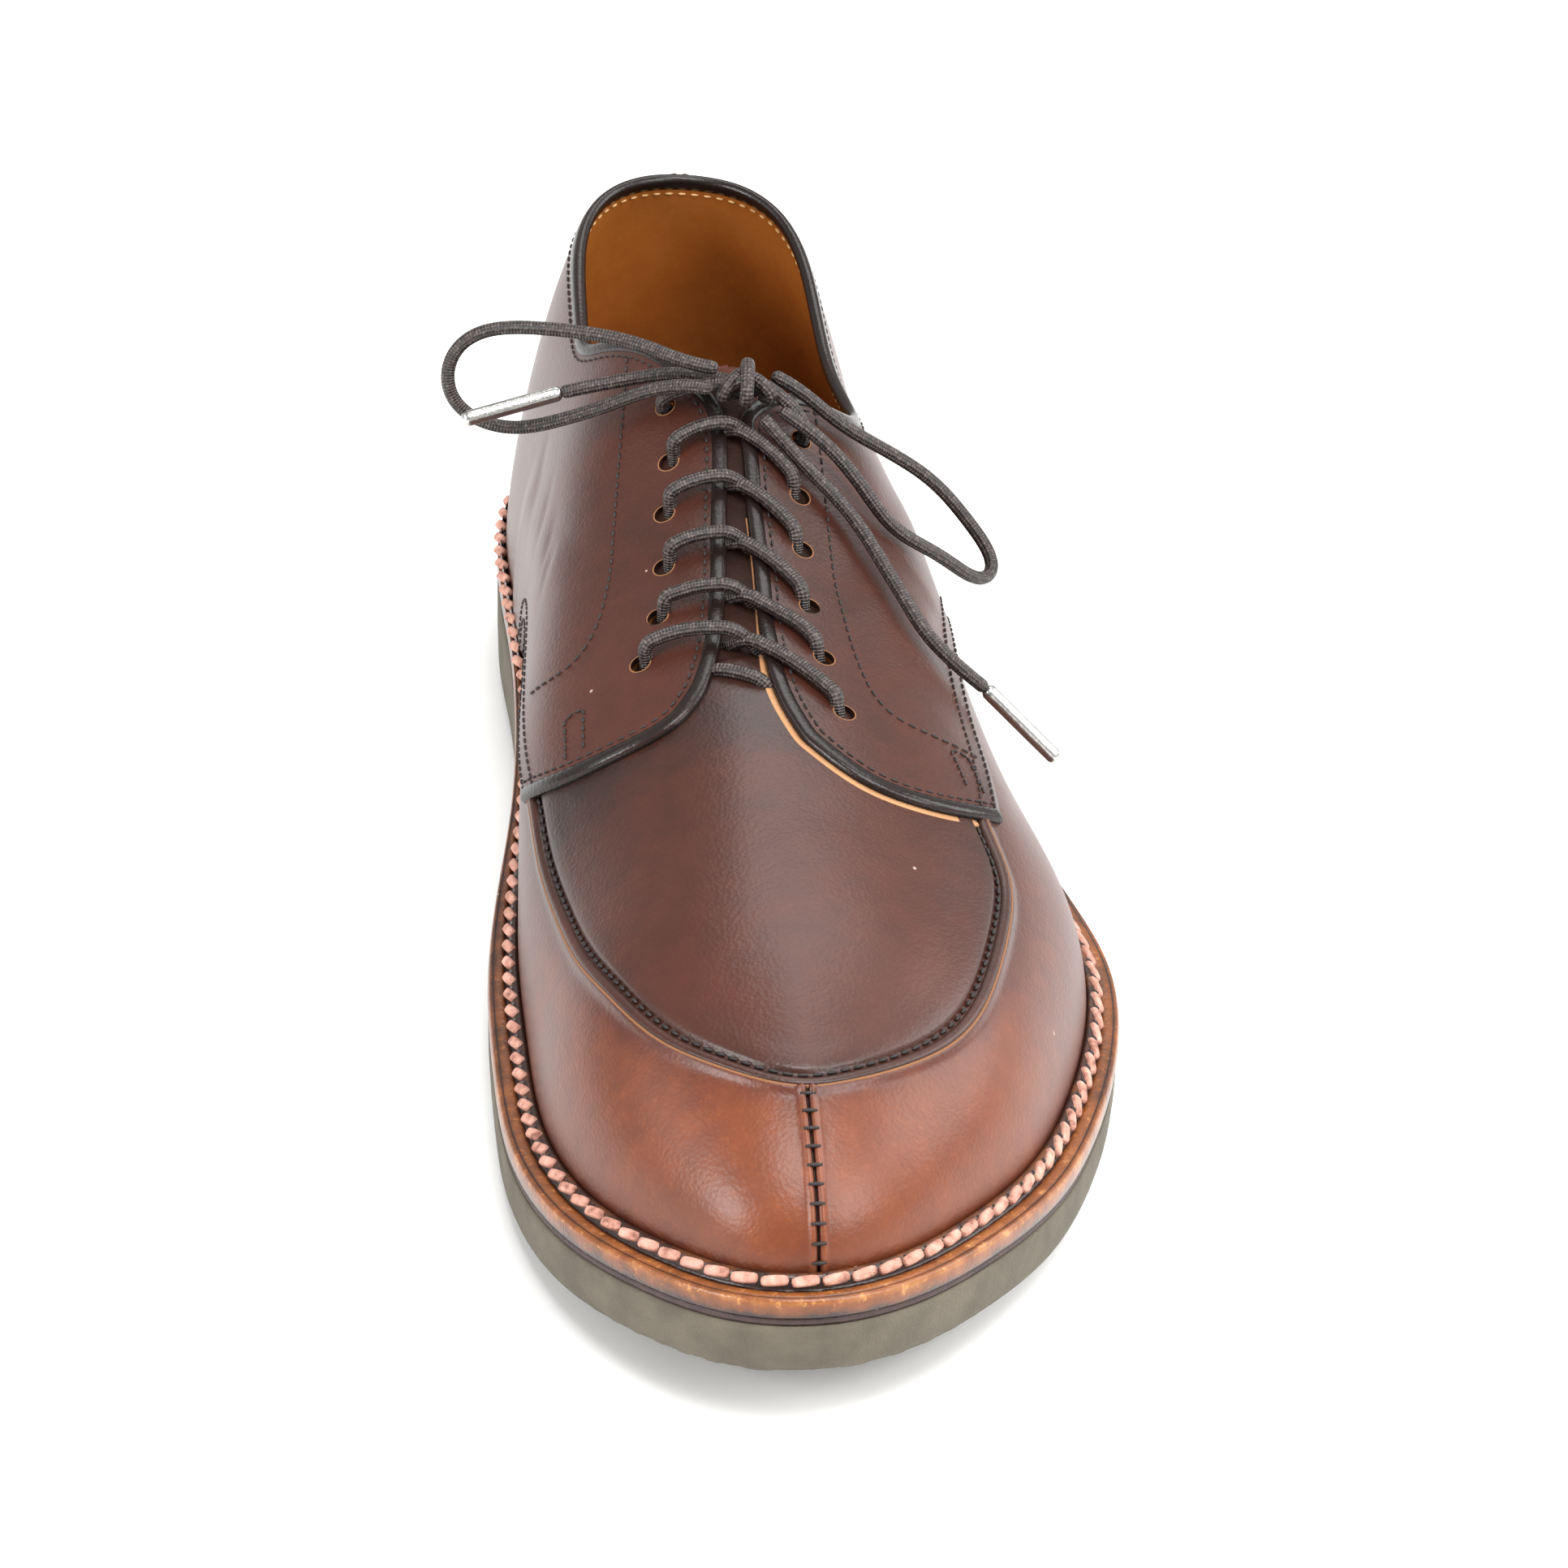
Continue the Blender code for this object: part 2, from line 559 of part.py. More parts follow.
def vamp_columns():
    """Loop shares of the vamp's ribs; across the ridge the two sides meet at the same points."""
    crowded = np.linspace(1.0, 0.0, 14) ** 1.5
    back = (throat_outer - (throat_outer - vamp_back_outer) * crowded)[:-1]
    front = throat_outer + (TOE - throat_outer) * np.linspace(0.0, 1.0, 20)
    partners = ridge_partner(rib_traits(front[:-1])[:, 3], inner_side=True)[::-1]
    rest = (partners[-1] + (vamp_back_inner - partners[-1]) * crowded[::-1])[1:]
    columns = np.concatenate([back, front, partners, rest])
    closed = np.concatenate([np.zeros(len(back), bool), np.ones(len(front) + len(partners), bool),
                             np.zeros(len(rest), bool)])
    return columns, closed


def vamp_shell(finish):
    """Wall of the vamp with the raised seams of the apron and of the toe."""
    columns, closed = vamp_columns()
    top = np.where(closed, 1.0, vamp_top(columns))
    seam = np.minimum(seam_share(columns), 0.8 * top)
    speed = np.linalg.norm(last(columns, seam + 0.01) - last(columns, seam - 0.01), axis=-1) / 0.02
    half = SEAM_WIDTH / speed
    wall_rows = np.array([0.0, 0.22, 0.44, 0.66, 0.85])
    plug_rows = np.array([0.17, 0.34, 0.51, 0.68, 0.84, 1.0])
    wall = seam[:, None] * wall_rows
    ridge = np.column_stack([seam - half, seam, seam + half])
    plug = (seam + half)[:, None] + (top - seam - half)[:, None] * plug_rows
    t = np.concatenate([wall, ridge, plug], axis=1)
    u = np.repeat(columns[:, None], t.shape[1], axis=1)
    shown = smooth_step((columns - seam_start) / 0.02) * smooth_step((seam_end - columns) / 0.02)
    wall_depth = np.full(t.shape, VAMP_WALL)
    wall_depth[:, len(wall_rows) + 1] += SEAM_RAISE * shown
    toe_column = int(np.argmin(np.abs(columns - TOE)))
    wall_depth[toe_column, 1 : len(wall_rows) + 1] += TOE_SEAM_RAISE
    return shell("upper", seated(off_last(u, t, wall_depth), t), last(u, t), finish, open_top=closed)


def lap_lift(u, t):
    """How far the quarter stands off the last where it laps over the vamp."""
    u, t = np.asarray(u, float) % 1.0, np.asarray(t, float)
    above = (t - vamp_top(u)) * rib_length(u)
    over_edge = 1.0 - smooth_step((above - LAP_WIDTH / 2) / LAP_WIDTH)
    behind = np.maximum(vamp_back_outer - u, u - vamp_back_inner) * LOOP_LENGTH
    return LAP_LIFT * over_edge * (1.0 - smooth_step((behind - LAP_WIDTH / 2) / LAP_WIDTH))


def quarter_net():
    """Loop and rib shares of the quarters, column by column, with the width of each column."""
    table = np.array(QUARTER_COLUMNS)
    low, high = snap(table[:, :3]), snap(table[:, 3:])
    low[table[:, 2] == 0.0, 1] = 0.0
    for uv in (low, high):
        uv[uv[:, 0] > TOE, 0] -= 1.0
    low_points, high_points = last(low[:, 0], low[:, 1]), last(high[:, 0], high[:, 1])
    knots = chord_knots(low_points + high_points)
    low_curve, high_curve = spline(knots, low), spline(knots, high)
    pieces = [np.linspace(a, b, 3)[:-1] for a, b in zip(knots[:-1], knots[1:])]
    where = np.concatenate(pieces + [knots[-1:]])
    first, final = knots[1] * BOUND_SHARE, 1.0 - (1.0 - knots[-2]) * BOUND_SHARE
    where = np.sort(np.concatenate([where, [first, final]]))
    start, end = low_curve(where), high_curve(where)
    start[:, 1] = np.maximum(start[:, 1], 0.0)
    on_feather = np.interp(where, knots, (table[:, 2] == 0.0).astype(float)) > 0.999
    start[on_feather, 1] = 0.0
    return where, knots, start, end


def front_bow(rows, start, end, shares):
    """How far a facing's front edge leaves the straight line between its corners."""
    uv = snap(rows)
    uv[uv[:, 0] > TOE, 0] -= 1.0
    curve = spline(chord_knots(last(uv[:, 0], uv[:, 1])), uv)
    return curve(shares) - (start + (end - start) * shares[:, None])


def quarter_shell(finish):
    """Wall of the two quarters in one, with the raised binding of facings and collar."""
    where, knots, start, end = quarter_net()
    height = np.linalg.norm(last(start[:, 0], start[:, 1]) - last(end[:, 0], end[:, 1]), axis=-1)
    binding = BINDING_WIDTH / height
    foot_of_binding = 1 - binding - BINDING_SLOPE / height
    body = np.linspace(0.0, 1.0, 7)
    shares = np.concatenate([body * foot_of_binding[:, None], (1 - binding)[:, None],
                             np.ones((len(where), 1))], axis=1)
    uv = start[:, None] + (end - start)[:, None] * shares[..., None]
    bow_outer = front_bow(FACING_FRONT_OUTER, start[0], end[0], shares[0])
    bow_inner = front_bow(FACING_FRONT_INNER, start[-1], end[-1], shares[-1])
    fade_outer = 1.0 - smooth_step(where / knots[4])
    fade_inner = 1.0 - smooth_step((1.0 - where) / (1.0 - knots[-5]))
    uv = uv + fade_outer[:, None, None] * bow_outer + fade_inner[:, None, None] * bow_inner
    u, t = uv[..., 0], np.clip(uv[..., 1], 0.0, 0.999)
    lift = lap_lift(u, t)
    raised = np.zeros(u.shape)
    raised[:, -2:] = BINDING_RAISE
    raised[:2] = BINDING_RAISE
    raised[-2:] = BINDING_RAISE
    outside = seated(off_last(u, t, lift + QUARTER_WALL + raised), t)
    return shell("quarters", outside, seated(off_last(u, t, lift), t), finish)


def boolean(target, other, operation, solver="EXACT"):
    """Boolean modifier of one object on another."""
    step = target.modifiers.new(other.name, "BOOLEAN")
    step.operation = operation
    step.solver = solver
    step.object = other


def hide_cutter(made):
    """Guides and cutters stay out of the render and show as wires."""
    for collection in list(made.users_collection):
        collection.objects.unlink(made)
    cutters.objects.link(made)
    made.hide_render = True
    made.display_type = "WIRE"


def eyelet_places():
    """Centres and directions of the twelve eyelets on the outside of the facings."""
    uv = np.concatenate([snap(EYELETS_OUTER), snap(EYELETS_INNER)])
    u, t = uv[:, 0], uv[:, 1]
    return off_last(u, t, lap_lift(u, t) + QUARTER_WALL), outward(u, t)


def upper_piece():
    """Hollow upper: vamp and quarters joined, with the eyelets punched."""
    leather = material("brown_leather", (0.135, 0.055, 0.038), 0.45)
    upper = vamp_shell(leather)
    quarters = quarter_shell(leather)
    hide_cutter(quarters)
    boolean(upper, quarters, "UNION")
    centres, directions = eyelet_places()
    punch = bmesh.new()
    for centre, direction in zip(centres, directions):
        turn = Vector(direction).to_track_quat("Z", "Y").to_matrix().to_4x4()
        place = Matrix.Translation(Vector(centre)) @ turn
        bmesh.ops.create_cone(punch, cap_ends=True, segments=10, radius1=EYELET_DIAMETER / 2,
                              radius2=EYELET_DIAMETER / 2, depth=PUNCH_DEPTH, matrix=place)
    mesh = bpy.data.meshes.new("eyelet_punches")
    punch.to_mesh(mesh)
    punch.free()
    punches = bpy.data.objects.new("eyelet_punches", mesh)
    parts.objects.link(punches)
    hide_cutter(punches)
    boolean(upper, punches, "DIFFERENCE")
    return upper


def foot_wall(u):
    """Greatest reach of the upper's wall past the feather line, up to the welt ridge's height."""
    t = np.linspace(0.0, 0.25, 11)
    columns = np.asarray(u)[:, None] + np.zeros(len(t))
    lapped = np.maximum(vamp_back_outer - columns, columns - vamp_back_inner) * LOOP_LENGTH
    thick = np.where(lapped > -2 * LAP_WIDTH, LAP_LIFT + QUARTER_WALL, VAMP_WALL)
    wall = off_last(columns, t + 0 * columns, thick)
    foot = last(np.asarray(u), 0.0)
    away = -inward(u)
    reach = ((wall - foot[:, None])[..., :2] * away[:, None]).sum(axis=-1)
    low = wall[..., 2] - foot[:, None, 2] < WELT_RIDGE_HEIGHT + WELT_GAP
    return np.where(low, reach, 0.0).max(axis=1)


def welt_piece():
    """Storm welt: a flat shoulder outside, and a ridge that stands up against the upper."""
    finish = material("amber_welt", (0.30, 0.13, 0.05), 0.5)
    u = np.linspace(0, 1, 65)[:-1]
    reach = foot_inset(u)
    wall = foot_wall(np.append(u, 1.0))[:-1]
    smooth = spline(u, wall, period=1.0)
    start = np.maximum(smooth(u), wall) + WELT_GAP
    ridge = np.minimum(WELT_RIDGE_WIDTH, (reach - start) * 0.6)
    rise = WELT_RIDGE_HEIGHT * np.clip(ridge / WELT_RIDGE_WIDTH, 0.35, 1.0)
    lap = np.full(reach.shape, -WELT_LAP)
    rows = [(lap, -WELT_THICKNESS), (lap, 0.0), (start, 0.0), (start, rise),
            (start + ridge * 0.6, rise), (start + ridge, rise * 0.25), (reach - WELT_ROUND, 0.0),
            (reach, -WELT_ROUND), (reach, -WELT_THICKNESS)]
    foot = edge(u) + inward(u) * reach[:, None]
    nets = []
    for across, up in rows:
        plan = foot - inward(u) * across[:, None]
        nets.append(np.column_stack([plan, seat_height(plan[:, 1]) + up]))
    section = np.stack(nets, axis=1)
    stations, points = section.shape[:2]
    vertices = section.reshape(-1, 3)
    faces = []
    for k in range(stations):
        ahead = (k + 1) % stations
        for p in range(points):
            q = (p + 1) % points
            faces.append((k * points + p, ahead * points + p, ahead * points + q, k * points + q))
    return add_mesh("welt", vertices, faces, finish)


def midsole_piece():
    """Thin leather layer under the welt."""
    finish = material("dark_midsole", (0.05, 0.025, 0.03), 0.6)
    rows = outline_rows(lambda u: np.full(u.shape, MIDSOLE_INSET), 34)
    top = -WELT_THICKNESS - GAP
    levels = (top, top - MIDSOLE_THICKNESS)
    return plate("midsole", [at_height(rows, lambda y, level=level: seat_height(y) + level) for level in levels], finish)


def outsole_piece():
    """One-piece wedge sole of foam rubber: heel, low arch and toe spring in one."""
    finish = material("olive_rubber", (0.16, 0.14, 0.11), 0.8)
    top = -WELT_THICKNESS - MIDSOLE_THICKNESS - 2 * GAP
    full, tapered, edge_of_tread = [outline_rows(lambda u, inset=inset: np.full(u.shape, inset), 40)
                                    for inset in (0.0, TREAD_TAPER, 2 * TREAD_TAPER)]
    rings = [at_height(full, lambda y: seat_height(y) + top),
             at_height(full, lambda y: tread_height(y) + SIDE_BREAK * (seat_height(y) + top - tread_height(y))),
             at_height(tapered, lambda y: tread_height(y) + TREAD_TAPER),
             at_height(edge_of_tread, tread_height)]
    return plate("outsole", rings, finish)


def insole_piece():
    """Board that lies inside the upper on the welt's inner edge."""
    finish = material("tan_insole", (0.28, 0.12, 0.05), 0.6)
    rows = outline_rows(lambda u: foot_inset(u) + INSOLE_PLAY, 34)
    levels = (GAP, GAP + INSOLE_THICKNESS)
    return plate("insole", [at_height(rows, lambda y, level=level: seat_height(y) + level) for level in levels], finish)


def tongue_piece():
    """Tongue under the facings, joined under the front of the throat."""
    finish = material("dark_tongue", (0.06, 0.03, 0.022), 0.55)
    stations = np.linspace(TONGUE_FRONT, TONGUE_TOP, 16)
    columns = []
    for share in stations:
        row_u, row_t = [], []
        for inner_side in (False, True):
            u = float(ridge_partner(share, inner_side))
            t = np.linspace(0.0, 1.0, 201)
            path = last(np.full(t.shape, u), t)
            from_ridge = np.linalg.norm(np.diff(path, axis=0), axis=1)[::-1].cumsum()[::-1]
            side = float(np.interp(-TONGUE_HALF_WIDTH, -from_ridge, t[:-1]))
            climb = side + (1.0 - side) * np.linspace(0.0, 1.0, 7)
            row_u.append(np.full(7, u))
            row_t.append(climb)
        columns.append((np.concatenate([row_u[0], row_u[1][:-1]]), np.concatenate([row_t[0], row_t[1][:-1][::-1]])))
    u, t = np.array([c[0] for c in columns]), np.array([c[1] for c in columns])
    top = off_last(u, t, np.full(u.shape, -TONGUE_PLAY))
    under = off_last(u, t, np.full(u.shape, -TONGUE_PLAY - TONGUE_WALL))
    return shell("tongue", top, under, finish)


def drape(start, end, distance, count):
    """Points of a run between two points of the last, held at a distance over the facings."""
    shares = np.linspace(0.0, 1.0, count)[:, None]
    run = start + (end - start) * shares + (CENTRE[0], CENTRE[1], 0.0)
    uv = snap(run / (SOLE_WIDTH, SOLE_LENGTH, LAST_HEIGHT))
    return off_last(uv[:, 0], uv[:, 1], lap_lift(uv[:, 0], uv[:, 1]) + distance)


def tube(name, points, diameter, finish):
    """Round cord through the points, with filled caps."""
    curve = bpy.data.curves.new(name, "CURVE")
    curve.dimensions = "3D"
    curve.bevel_depth = diameter / 2
    curve.bevel_resolution = 2
    curve.use_fill_caps = True
    line = curve.splines.new("POLY")
    line.points.add(len(points) - 1)
    for point, place in zip(line.points, points):
        point.co = (*place, 1.0)
    curve.materials.append(finish)
    made = bpy.data.objects.new(name, curve)
    parts.objects.link(made)
    return made


def as_mesh(made):
    """The same object as a mesh, with its caps welded, so that it can be joined."""
    graph = bpy.context.evaluated_depsgraph_get()
    mesh = bpy.data.meshes.new_from_object(made.evaluated_get(graph))
    work = bmesh.new()
    work.from_mesh(mesh)
    bmesh.ops.remove_doubles(work, verts=work.verts, dist=1e-6)
    bmesh.ops.recalc_face_normals(work, faces=work.faces)
    work.to_mesh(mesh)
    work.free()
    name, place = made.name, made.matrix_world.copy()
    bpy.data.objects.remove(made, do_unlink=True)
    solid = bpy.data.objects.new(name, mesh)
    solid.matrix_world = place
    parts.objects.link(solid)
    return solid


def lace_rows(finish):
    """Crossings of the lace over the facings; the top pair runs straight to the knot."""
    outer, inner = snap(EYELETS_OUTER), snap(EYELETS_INNER)
    outer_points, inner_points = last(outer[:, 0], outer[:, 1]), last(inner[:, 0], inner[:, 1])
    distance = QUARTER_WALL + BINDING_RAISE + LACE_REST + LACE / 2
    knot = np.array(KNOT_CENTRE)
    for side, start in (("outer", outer_points[0]), ("inner", inner_points[0])):
        away = 1.0 if side == "outer" else -1.0
        goal = knot + (away * (KNOT_WIDTH / 2 + LACE), 0.0, 0.0)
        run = drape(start, goal, distance, 6)
        tube("lace_arm_" + side, run[:4], LACE, finish)
    for row in range(1, len(outer_points)):
        along = (outer_points[row, 1] + inner_points[row, 1]) / 2 + LACE_CROSS_ADVANCE
        height, across = ridge_line(along)
        cross = np.array([across, along, height])
        bars = []
        for side, start in (("outer", outer_points[row]), ("inner", inner_points[row])):
            step = (cross - start) / np.linalg.norm(cross - start)
            run = drape(start, cross + step * LACE_OVERRUN, distance, 6)
            bars.append(as_mesh(tube("lace_row_%d_%s" % (row + 1, side), run, LACE, finish)))
        bars[0].name = "lace_row_%d" % (row + 1)
        hide_cutter(bars[1])
        boolean(bars[0], bars[1], "UNION")


def smooth_route(route):
    """Points of a smooth curve through a route, a few lace diameters apart."""
    points = np.array(route) * MM
    curve = spline(chord_knots(points), points)
    dense_run = curve(np.linspace(0.0, 1.0, 400))
    length = np.linalg.norm(np.diff(dense_run, axis=0), axis=1).sum()
    count = int(round(length / (CORD_STEP * LACE))) + 1
    travelled = chord_knots(dense_run)
    shares = np.linspace(0.0, 1.0, count)
    return np.column_stack([np.interp(shares, travelled, dense_run[:, k]) for k in range(3)])


def knot_piece(finish):
    """Flattened bow knot over the top of the facings."""
    mesh = bpy.data.meshes.new("lace_knot")
    work = bmesh.new()
    place = (Matrix.Translation(Vector(KNOT_CENTRE)) @ Matrix.Rotation(KNOT_TILT, 4, "X")
             @ Matrix.Diagonal((KNOT_WIDTH / 2, KNOT_LENGTH / 2, KNOT_HEIGHT / 2, 1.0)))
    bmesh.ops.create_uvsphere(work, u_segments=12, v_segments=8, radius=1.0, matrix=place)
    work.to_mesh(mesh)
    work.free()
    mesh.materials.append(finish)
    mesh.shade_smooth()
    parts.objects.link(bpy.data.objects.new("lace_knot", mesh))


def aglet(name, ends, finish):
    """Metal tip on an end of the lace."""
    start, towards = Vector(ends[0]) * MM, (Vector(ends[1]) - Vector(ends[0])).normalized()
    middle = start + towards * (GAP + AGLET_LENGTH / 2)
    place = Matrix.Translation(middle) @ towards.to_track_quat("Z", "Y").to_matrix().to_4x4()
    mesh = bpy.data.meshes.new(name)
    work = bmesh.new()
    bmesh.ops.create_cone(work, cap_ends=True, segments=10, radius1=AGLET_DIAMETER / 2,
                          radius2=AGLET_DIAMETER / 2, depth=AGLET_LENGTH, matrix=place)
    work.to_mesh(mesh)
    work.free()
    mesh.materials.append(finish)
    parts.objects.link(bpy.data.objects.new(name, mesh))


def bow_pieces(finish, metal):
    """Knot, two loops, two ends and their aglets."""
    knot_piece(finish)
    for name, route in (("lace_loop_medial", LOOP_MEDIAL), ("lace_loop_lateral", LOOP_LATERAL),
                        ("lace_end_medial", END_MEDIAL), ("lace_end_lateral", END_LATERAL)):
        tube(name, smooth_route(route), LACE, finish)
    aglet("aglet_medial", AGLET_MEDIAL, metal)
    aglet("aglet_lateral", AGLET_LATERAL, metal)


for collection in (parts, cutters):
    bpy.context.scene.collection.children.link(collection)

outsole_piece()
midsole_piece()
welt_piece()
insole_piece()
upper_piece()
tongue_piece()
waxed_lace = material("waxed_lace", (0.055, 0.035, 0.028), 0.5)
lace_rows(waxed_lace)
bow_pieces(waxed_lace, material("lace_metal", (0.55, 0.55, 0.53), 0.3, 1.0))
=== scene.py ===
# %% [markdown]
# # Dressing an apron toe derby
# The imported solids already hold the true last, sole and openings. This lesson lays the fine
# surface over them: waxed leather panels, seams, stitches, a storm welt, a foam sole and the
# laces. Everything stays in the solids' own frame: toe to -Y, outer side of the foot to +X, metres.

import bmesh
import bpy
import numpy as np
from mathutils import Matrix, Vector


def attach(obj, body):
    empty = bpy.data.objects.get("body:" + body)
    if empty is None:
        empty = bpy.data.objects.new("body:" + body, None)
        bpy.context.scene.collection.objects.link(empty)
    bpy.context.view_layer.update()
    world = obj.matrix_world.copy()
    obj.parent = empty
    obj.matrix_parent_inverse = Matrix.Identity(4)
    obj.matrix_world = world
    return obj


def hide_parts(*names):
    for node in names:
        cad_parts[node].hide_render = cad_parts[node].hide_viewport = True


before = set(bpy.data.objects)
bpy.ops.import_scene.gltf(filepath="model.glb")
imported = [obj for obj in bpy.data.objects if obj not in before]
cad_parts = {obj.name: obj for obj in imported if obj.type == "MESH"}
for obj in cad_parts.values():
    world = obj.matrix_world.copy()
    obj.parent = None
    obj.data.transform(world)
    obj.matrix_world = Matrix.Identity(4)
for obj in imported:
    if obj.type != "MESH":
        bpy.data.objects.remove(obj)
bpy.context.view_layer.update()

print("solids", sorted(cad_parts))

# %% [markdown]
# ## The last as a function
# A shoe is measured from its last, a foot-shaped block. Here the last is a closed loop of
# ribs that climb from the feather line to the ridge of the instep. Each panel, seam and
# stitch is then placed by two shares: u round the loop and t up the rib. That way nothing
# has to be fitted by eye afterwards, and all pieces stay parallel to each other.

# %% Sizes of the shoe
MM = 0.001
SOLE_LENGTH = 0.300
SOLE_WIDTH = 0.1138
SEAT_HEIGHT = 0.028
TOE_SPRING = 0.0137
ARCH_LIFT = 0.0015
WELT_REACH = 0.0075
WELT_THICKNESS = 0.0032
MIDSOLE_THICKNESS = 0.0012
LAST_HEIGHT = 0.107
BULGE = 0.009
VAMP_WALL = 0.0016
QUARTER_WALL = 0.0019
LAP_LIFT = 0.0008
LAP_WIDTH = 0.010
GAP = 0.0003
LACE = 0.0026
SIZES = np.array([SOLE_WIDTH, SOLE_LENGTH, LAST_HEIGHT])

# %% Sections of the last
# along, out: shares of the sole's length and width; reach of the welt; squareness; bulge; ridge's place
TOE_ROW = 14
RIBS = np.array([
    (0.500, 0.026, 0.47, 3.30, 0.22, 0.330),
    (0.462, 0.258, 0.47, 2.30, 0.20, 0.310),
    (0.370, 0.342, 0.47, 1.62, 0.20, 0.270),
    (0.280, 0.360, 0.51, 1.55, 0.22, 0.225),
    (0.190, 0.392, 0.60, 1.78, 0.33, 0.165),
    (0.110, 0.432, 0.73, 1.85, 0.33, 0.105),
    (0.030, 0.472, 0.87, 1.85, 0.22, 0.040),
    (-0.050, 0.518, 1.00, 1.82, 0.17, -0.030),
    (-0.125, 0.552, 1.00, 1.88, 0.11, -0.095),
    (-0.210, 0.528, 1.00, 1.95, 0.17, -0.160),
    (-0.295, 0.456, 1.00, 2.10, 0.17, -0.215),
    (-0.375, 0.355, 1.00, 2.25, 0.17, -0.255),
    (-0.440, 0.220, 1.00, 2.25, 0.17, -0.283),
    (-0.484, 0.085, 1.00, 2.25, 0.17, -0.300),
    (-0.500, -0.040, 1.00, 2.25, 0.17, -0.308),
    (-0.490, -0.165, 1.00, 2.25, 0.17, -0.303),
    (-0.452, -0.275, 1.00, 2.25, 0.17, -0.288),
    (-0.390, -0.376, 1.00, 2.25, 0.17, -0.260),
    (-0.295, -0.440, 1.00, 2.10, 0.17, -0.215),
    (-0.200, -0.446, 1.00, 1.95, 0.22, -0.155),
    (-0.115, -0.436, 0.93, 1.95, 0.44, -0.090),
    (-0.030, -0.405, 0.80, 2.00, 0.89, -0.020),
    (0.060, -0.362, 0.67, 2.00, 1.00, 0.060),
    (0.150, -0.335, 0.60, 1.90, 0.78, 0.130),
    (0.240, -0.325, 0.51, 1.70, 0.50, 0.195),
    (0.330, -0.326, 0.47, 1.60, 0.28, 0.250),
    (0.420, -0.280, 0.47, 1.90, 0.20, 0.295),
    (0.482, -0.150, 0.47, 2.80, 0.20, 0.322),
])
# Ridge of the instep: along, up, out
RIDGE = np.array([(-0.50, 0.440, -0.036), (-0.40, 0.484, -0.036), (-0.32, 0.525, -0.036), (-0.25, 0.557, -0.035),
                  (-0.15, 0.598, -0.032), (-0.05, 0.650, -0.024), (0.05, 0.724, -0.004), (0.13, 0.813, 0.014),
                  (0.20, 0.907, 0.020), (0.28, 0.972, 0.022), (0.50, 1.000, 0.026)])
# Side view of the sole: along, spring, arch, seat
PROFILE = np.array([(-0.50, 1.000, 0.0, 0.518), (-0.42, 0.628, 0.0, 0.521), (-0.33, 0.277, 0.0, 0.536),
                    (-0.25, 0.060, 0.0, 0.560), (-0.20, 0.000, 0.0, 0.571), (-0.05, 0.000, 0.0, 0.614),
                    (0.08, 0.000, 0.8, 0.732), (0.16, 0.000, 1.0, 0.820), (0.24, 0.000, 0.5, 0.893),
                    (0.30, 0.000, 0.0, 0.936), (0.40, 0.000, 0.0, 0.975), (0.50, 0.000, 0.0, 1.000)])

# %% Smooth curves through the sections


def spline(knots, values, period=None):
    """Smooth cubic curve through the values, closed where a period is given."""
    knots, values = np.asarray(knots, float), np.asarray(values, float)
    count = len(knots)
    spans = np.diff(knots)
    if period is not None:
        spans = np.append(spans, period - (knots[-1] - knots[0]))
    system, right = np.eye(count), np.zeros(values.shape)
    for i in (range(count) if period is not None else range(1, count - 1)):
        before, after, following = spans[i - 1], spans[i], (i + 1) % count
        system[i] = 0.0
        system[i, i - 1] = before
        system[i, i] = 2 * (before + after)
        system[i, following] += after
        right[i] = 6 * ((values[following] - values[i]) / after - (values[i] - values[i - 1]) / before)
    bend = np.linalg.solve(system, right)

    def at(where):
        where = np.asarray(where, float)
        if period is not None:
            where = (where - knots[0]) % period + knots[0]
        i = np.clip(np.searchsorted(knots, where, side="right") - 1, 0, count - (1 if period else 2))
        j = (i + 1) % count
        shape = (...,) + (None,) * (values.ndim - 1)
        span, past = spans[i][shape], (where - knots[i])[shape]
        left = span - past
        return ((bend[i] * left**3 + bend[j] * past**3) / (6 * span)
                + (values[i] / span - bend[i] * span / 6) * left
                + (values[j] / span - bend[j] * span / 6) * past)

    return at


def chord_knots(points):
    """Distances along a run of points, from 0 to 1."""
    steps = np.linalg.norm(np.diff(points, axis=0), axis=1)
    return np.append(0.0, np.cumsum(steps)) / steps.sum()


def smooth_step(x):
    """Rise from 0 to 1 without corners."""
    x = np.clip(x, 0.0, 1.0)
    return x * x * (3 - 2 * x)


def bell(x):
    """Soft bump of height 1 and width about 1 on each side."""
    return np.exp(-np.square(x))


def unit(vectors):
    """Vectors of length 1 in the same directions."""
    return vectors / np.linalg.norm(vectors, axis=-1, keepdims=True)


edge_points = RIBS[:, [1, 0]] * (SOLE_WIDTH, SOLE_LENGTH)
loop_knots = chord_knots(np.vstack([edge_points, edge_points[:1]]))[:-1]
raw_edge = spline(loop_knots, edge_points, period=1.0)
dense = raw_edge(np.linspace(0.0, 1.0, 2001))
CENTRE = (dense.max(axis=0) + dense.min(axis=0)) / 2
LOOP_LENGTH = np.linalg.norm(np.diff(dense, axis=0), axis=1).sum()
TOE = loop_knots[TOE_ROW]
rib_traits = spline(loop_knots, RIBS[:, 2:], period=1.0)
ridge_line = spline(RIDGE[:, 0] * SOLE_LENGTH,
                    np.column_stack([RIDGE[:, 1] * LAST_HEIGHT, RIDGE[:, 2] * SOLE_WIDTH - CENTRE[0]]))
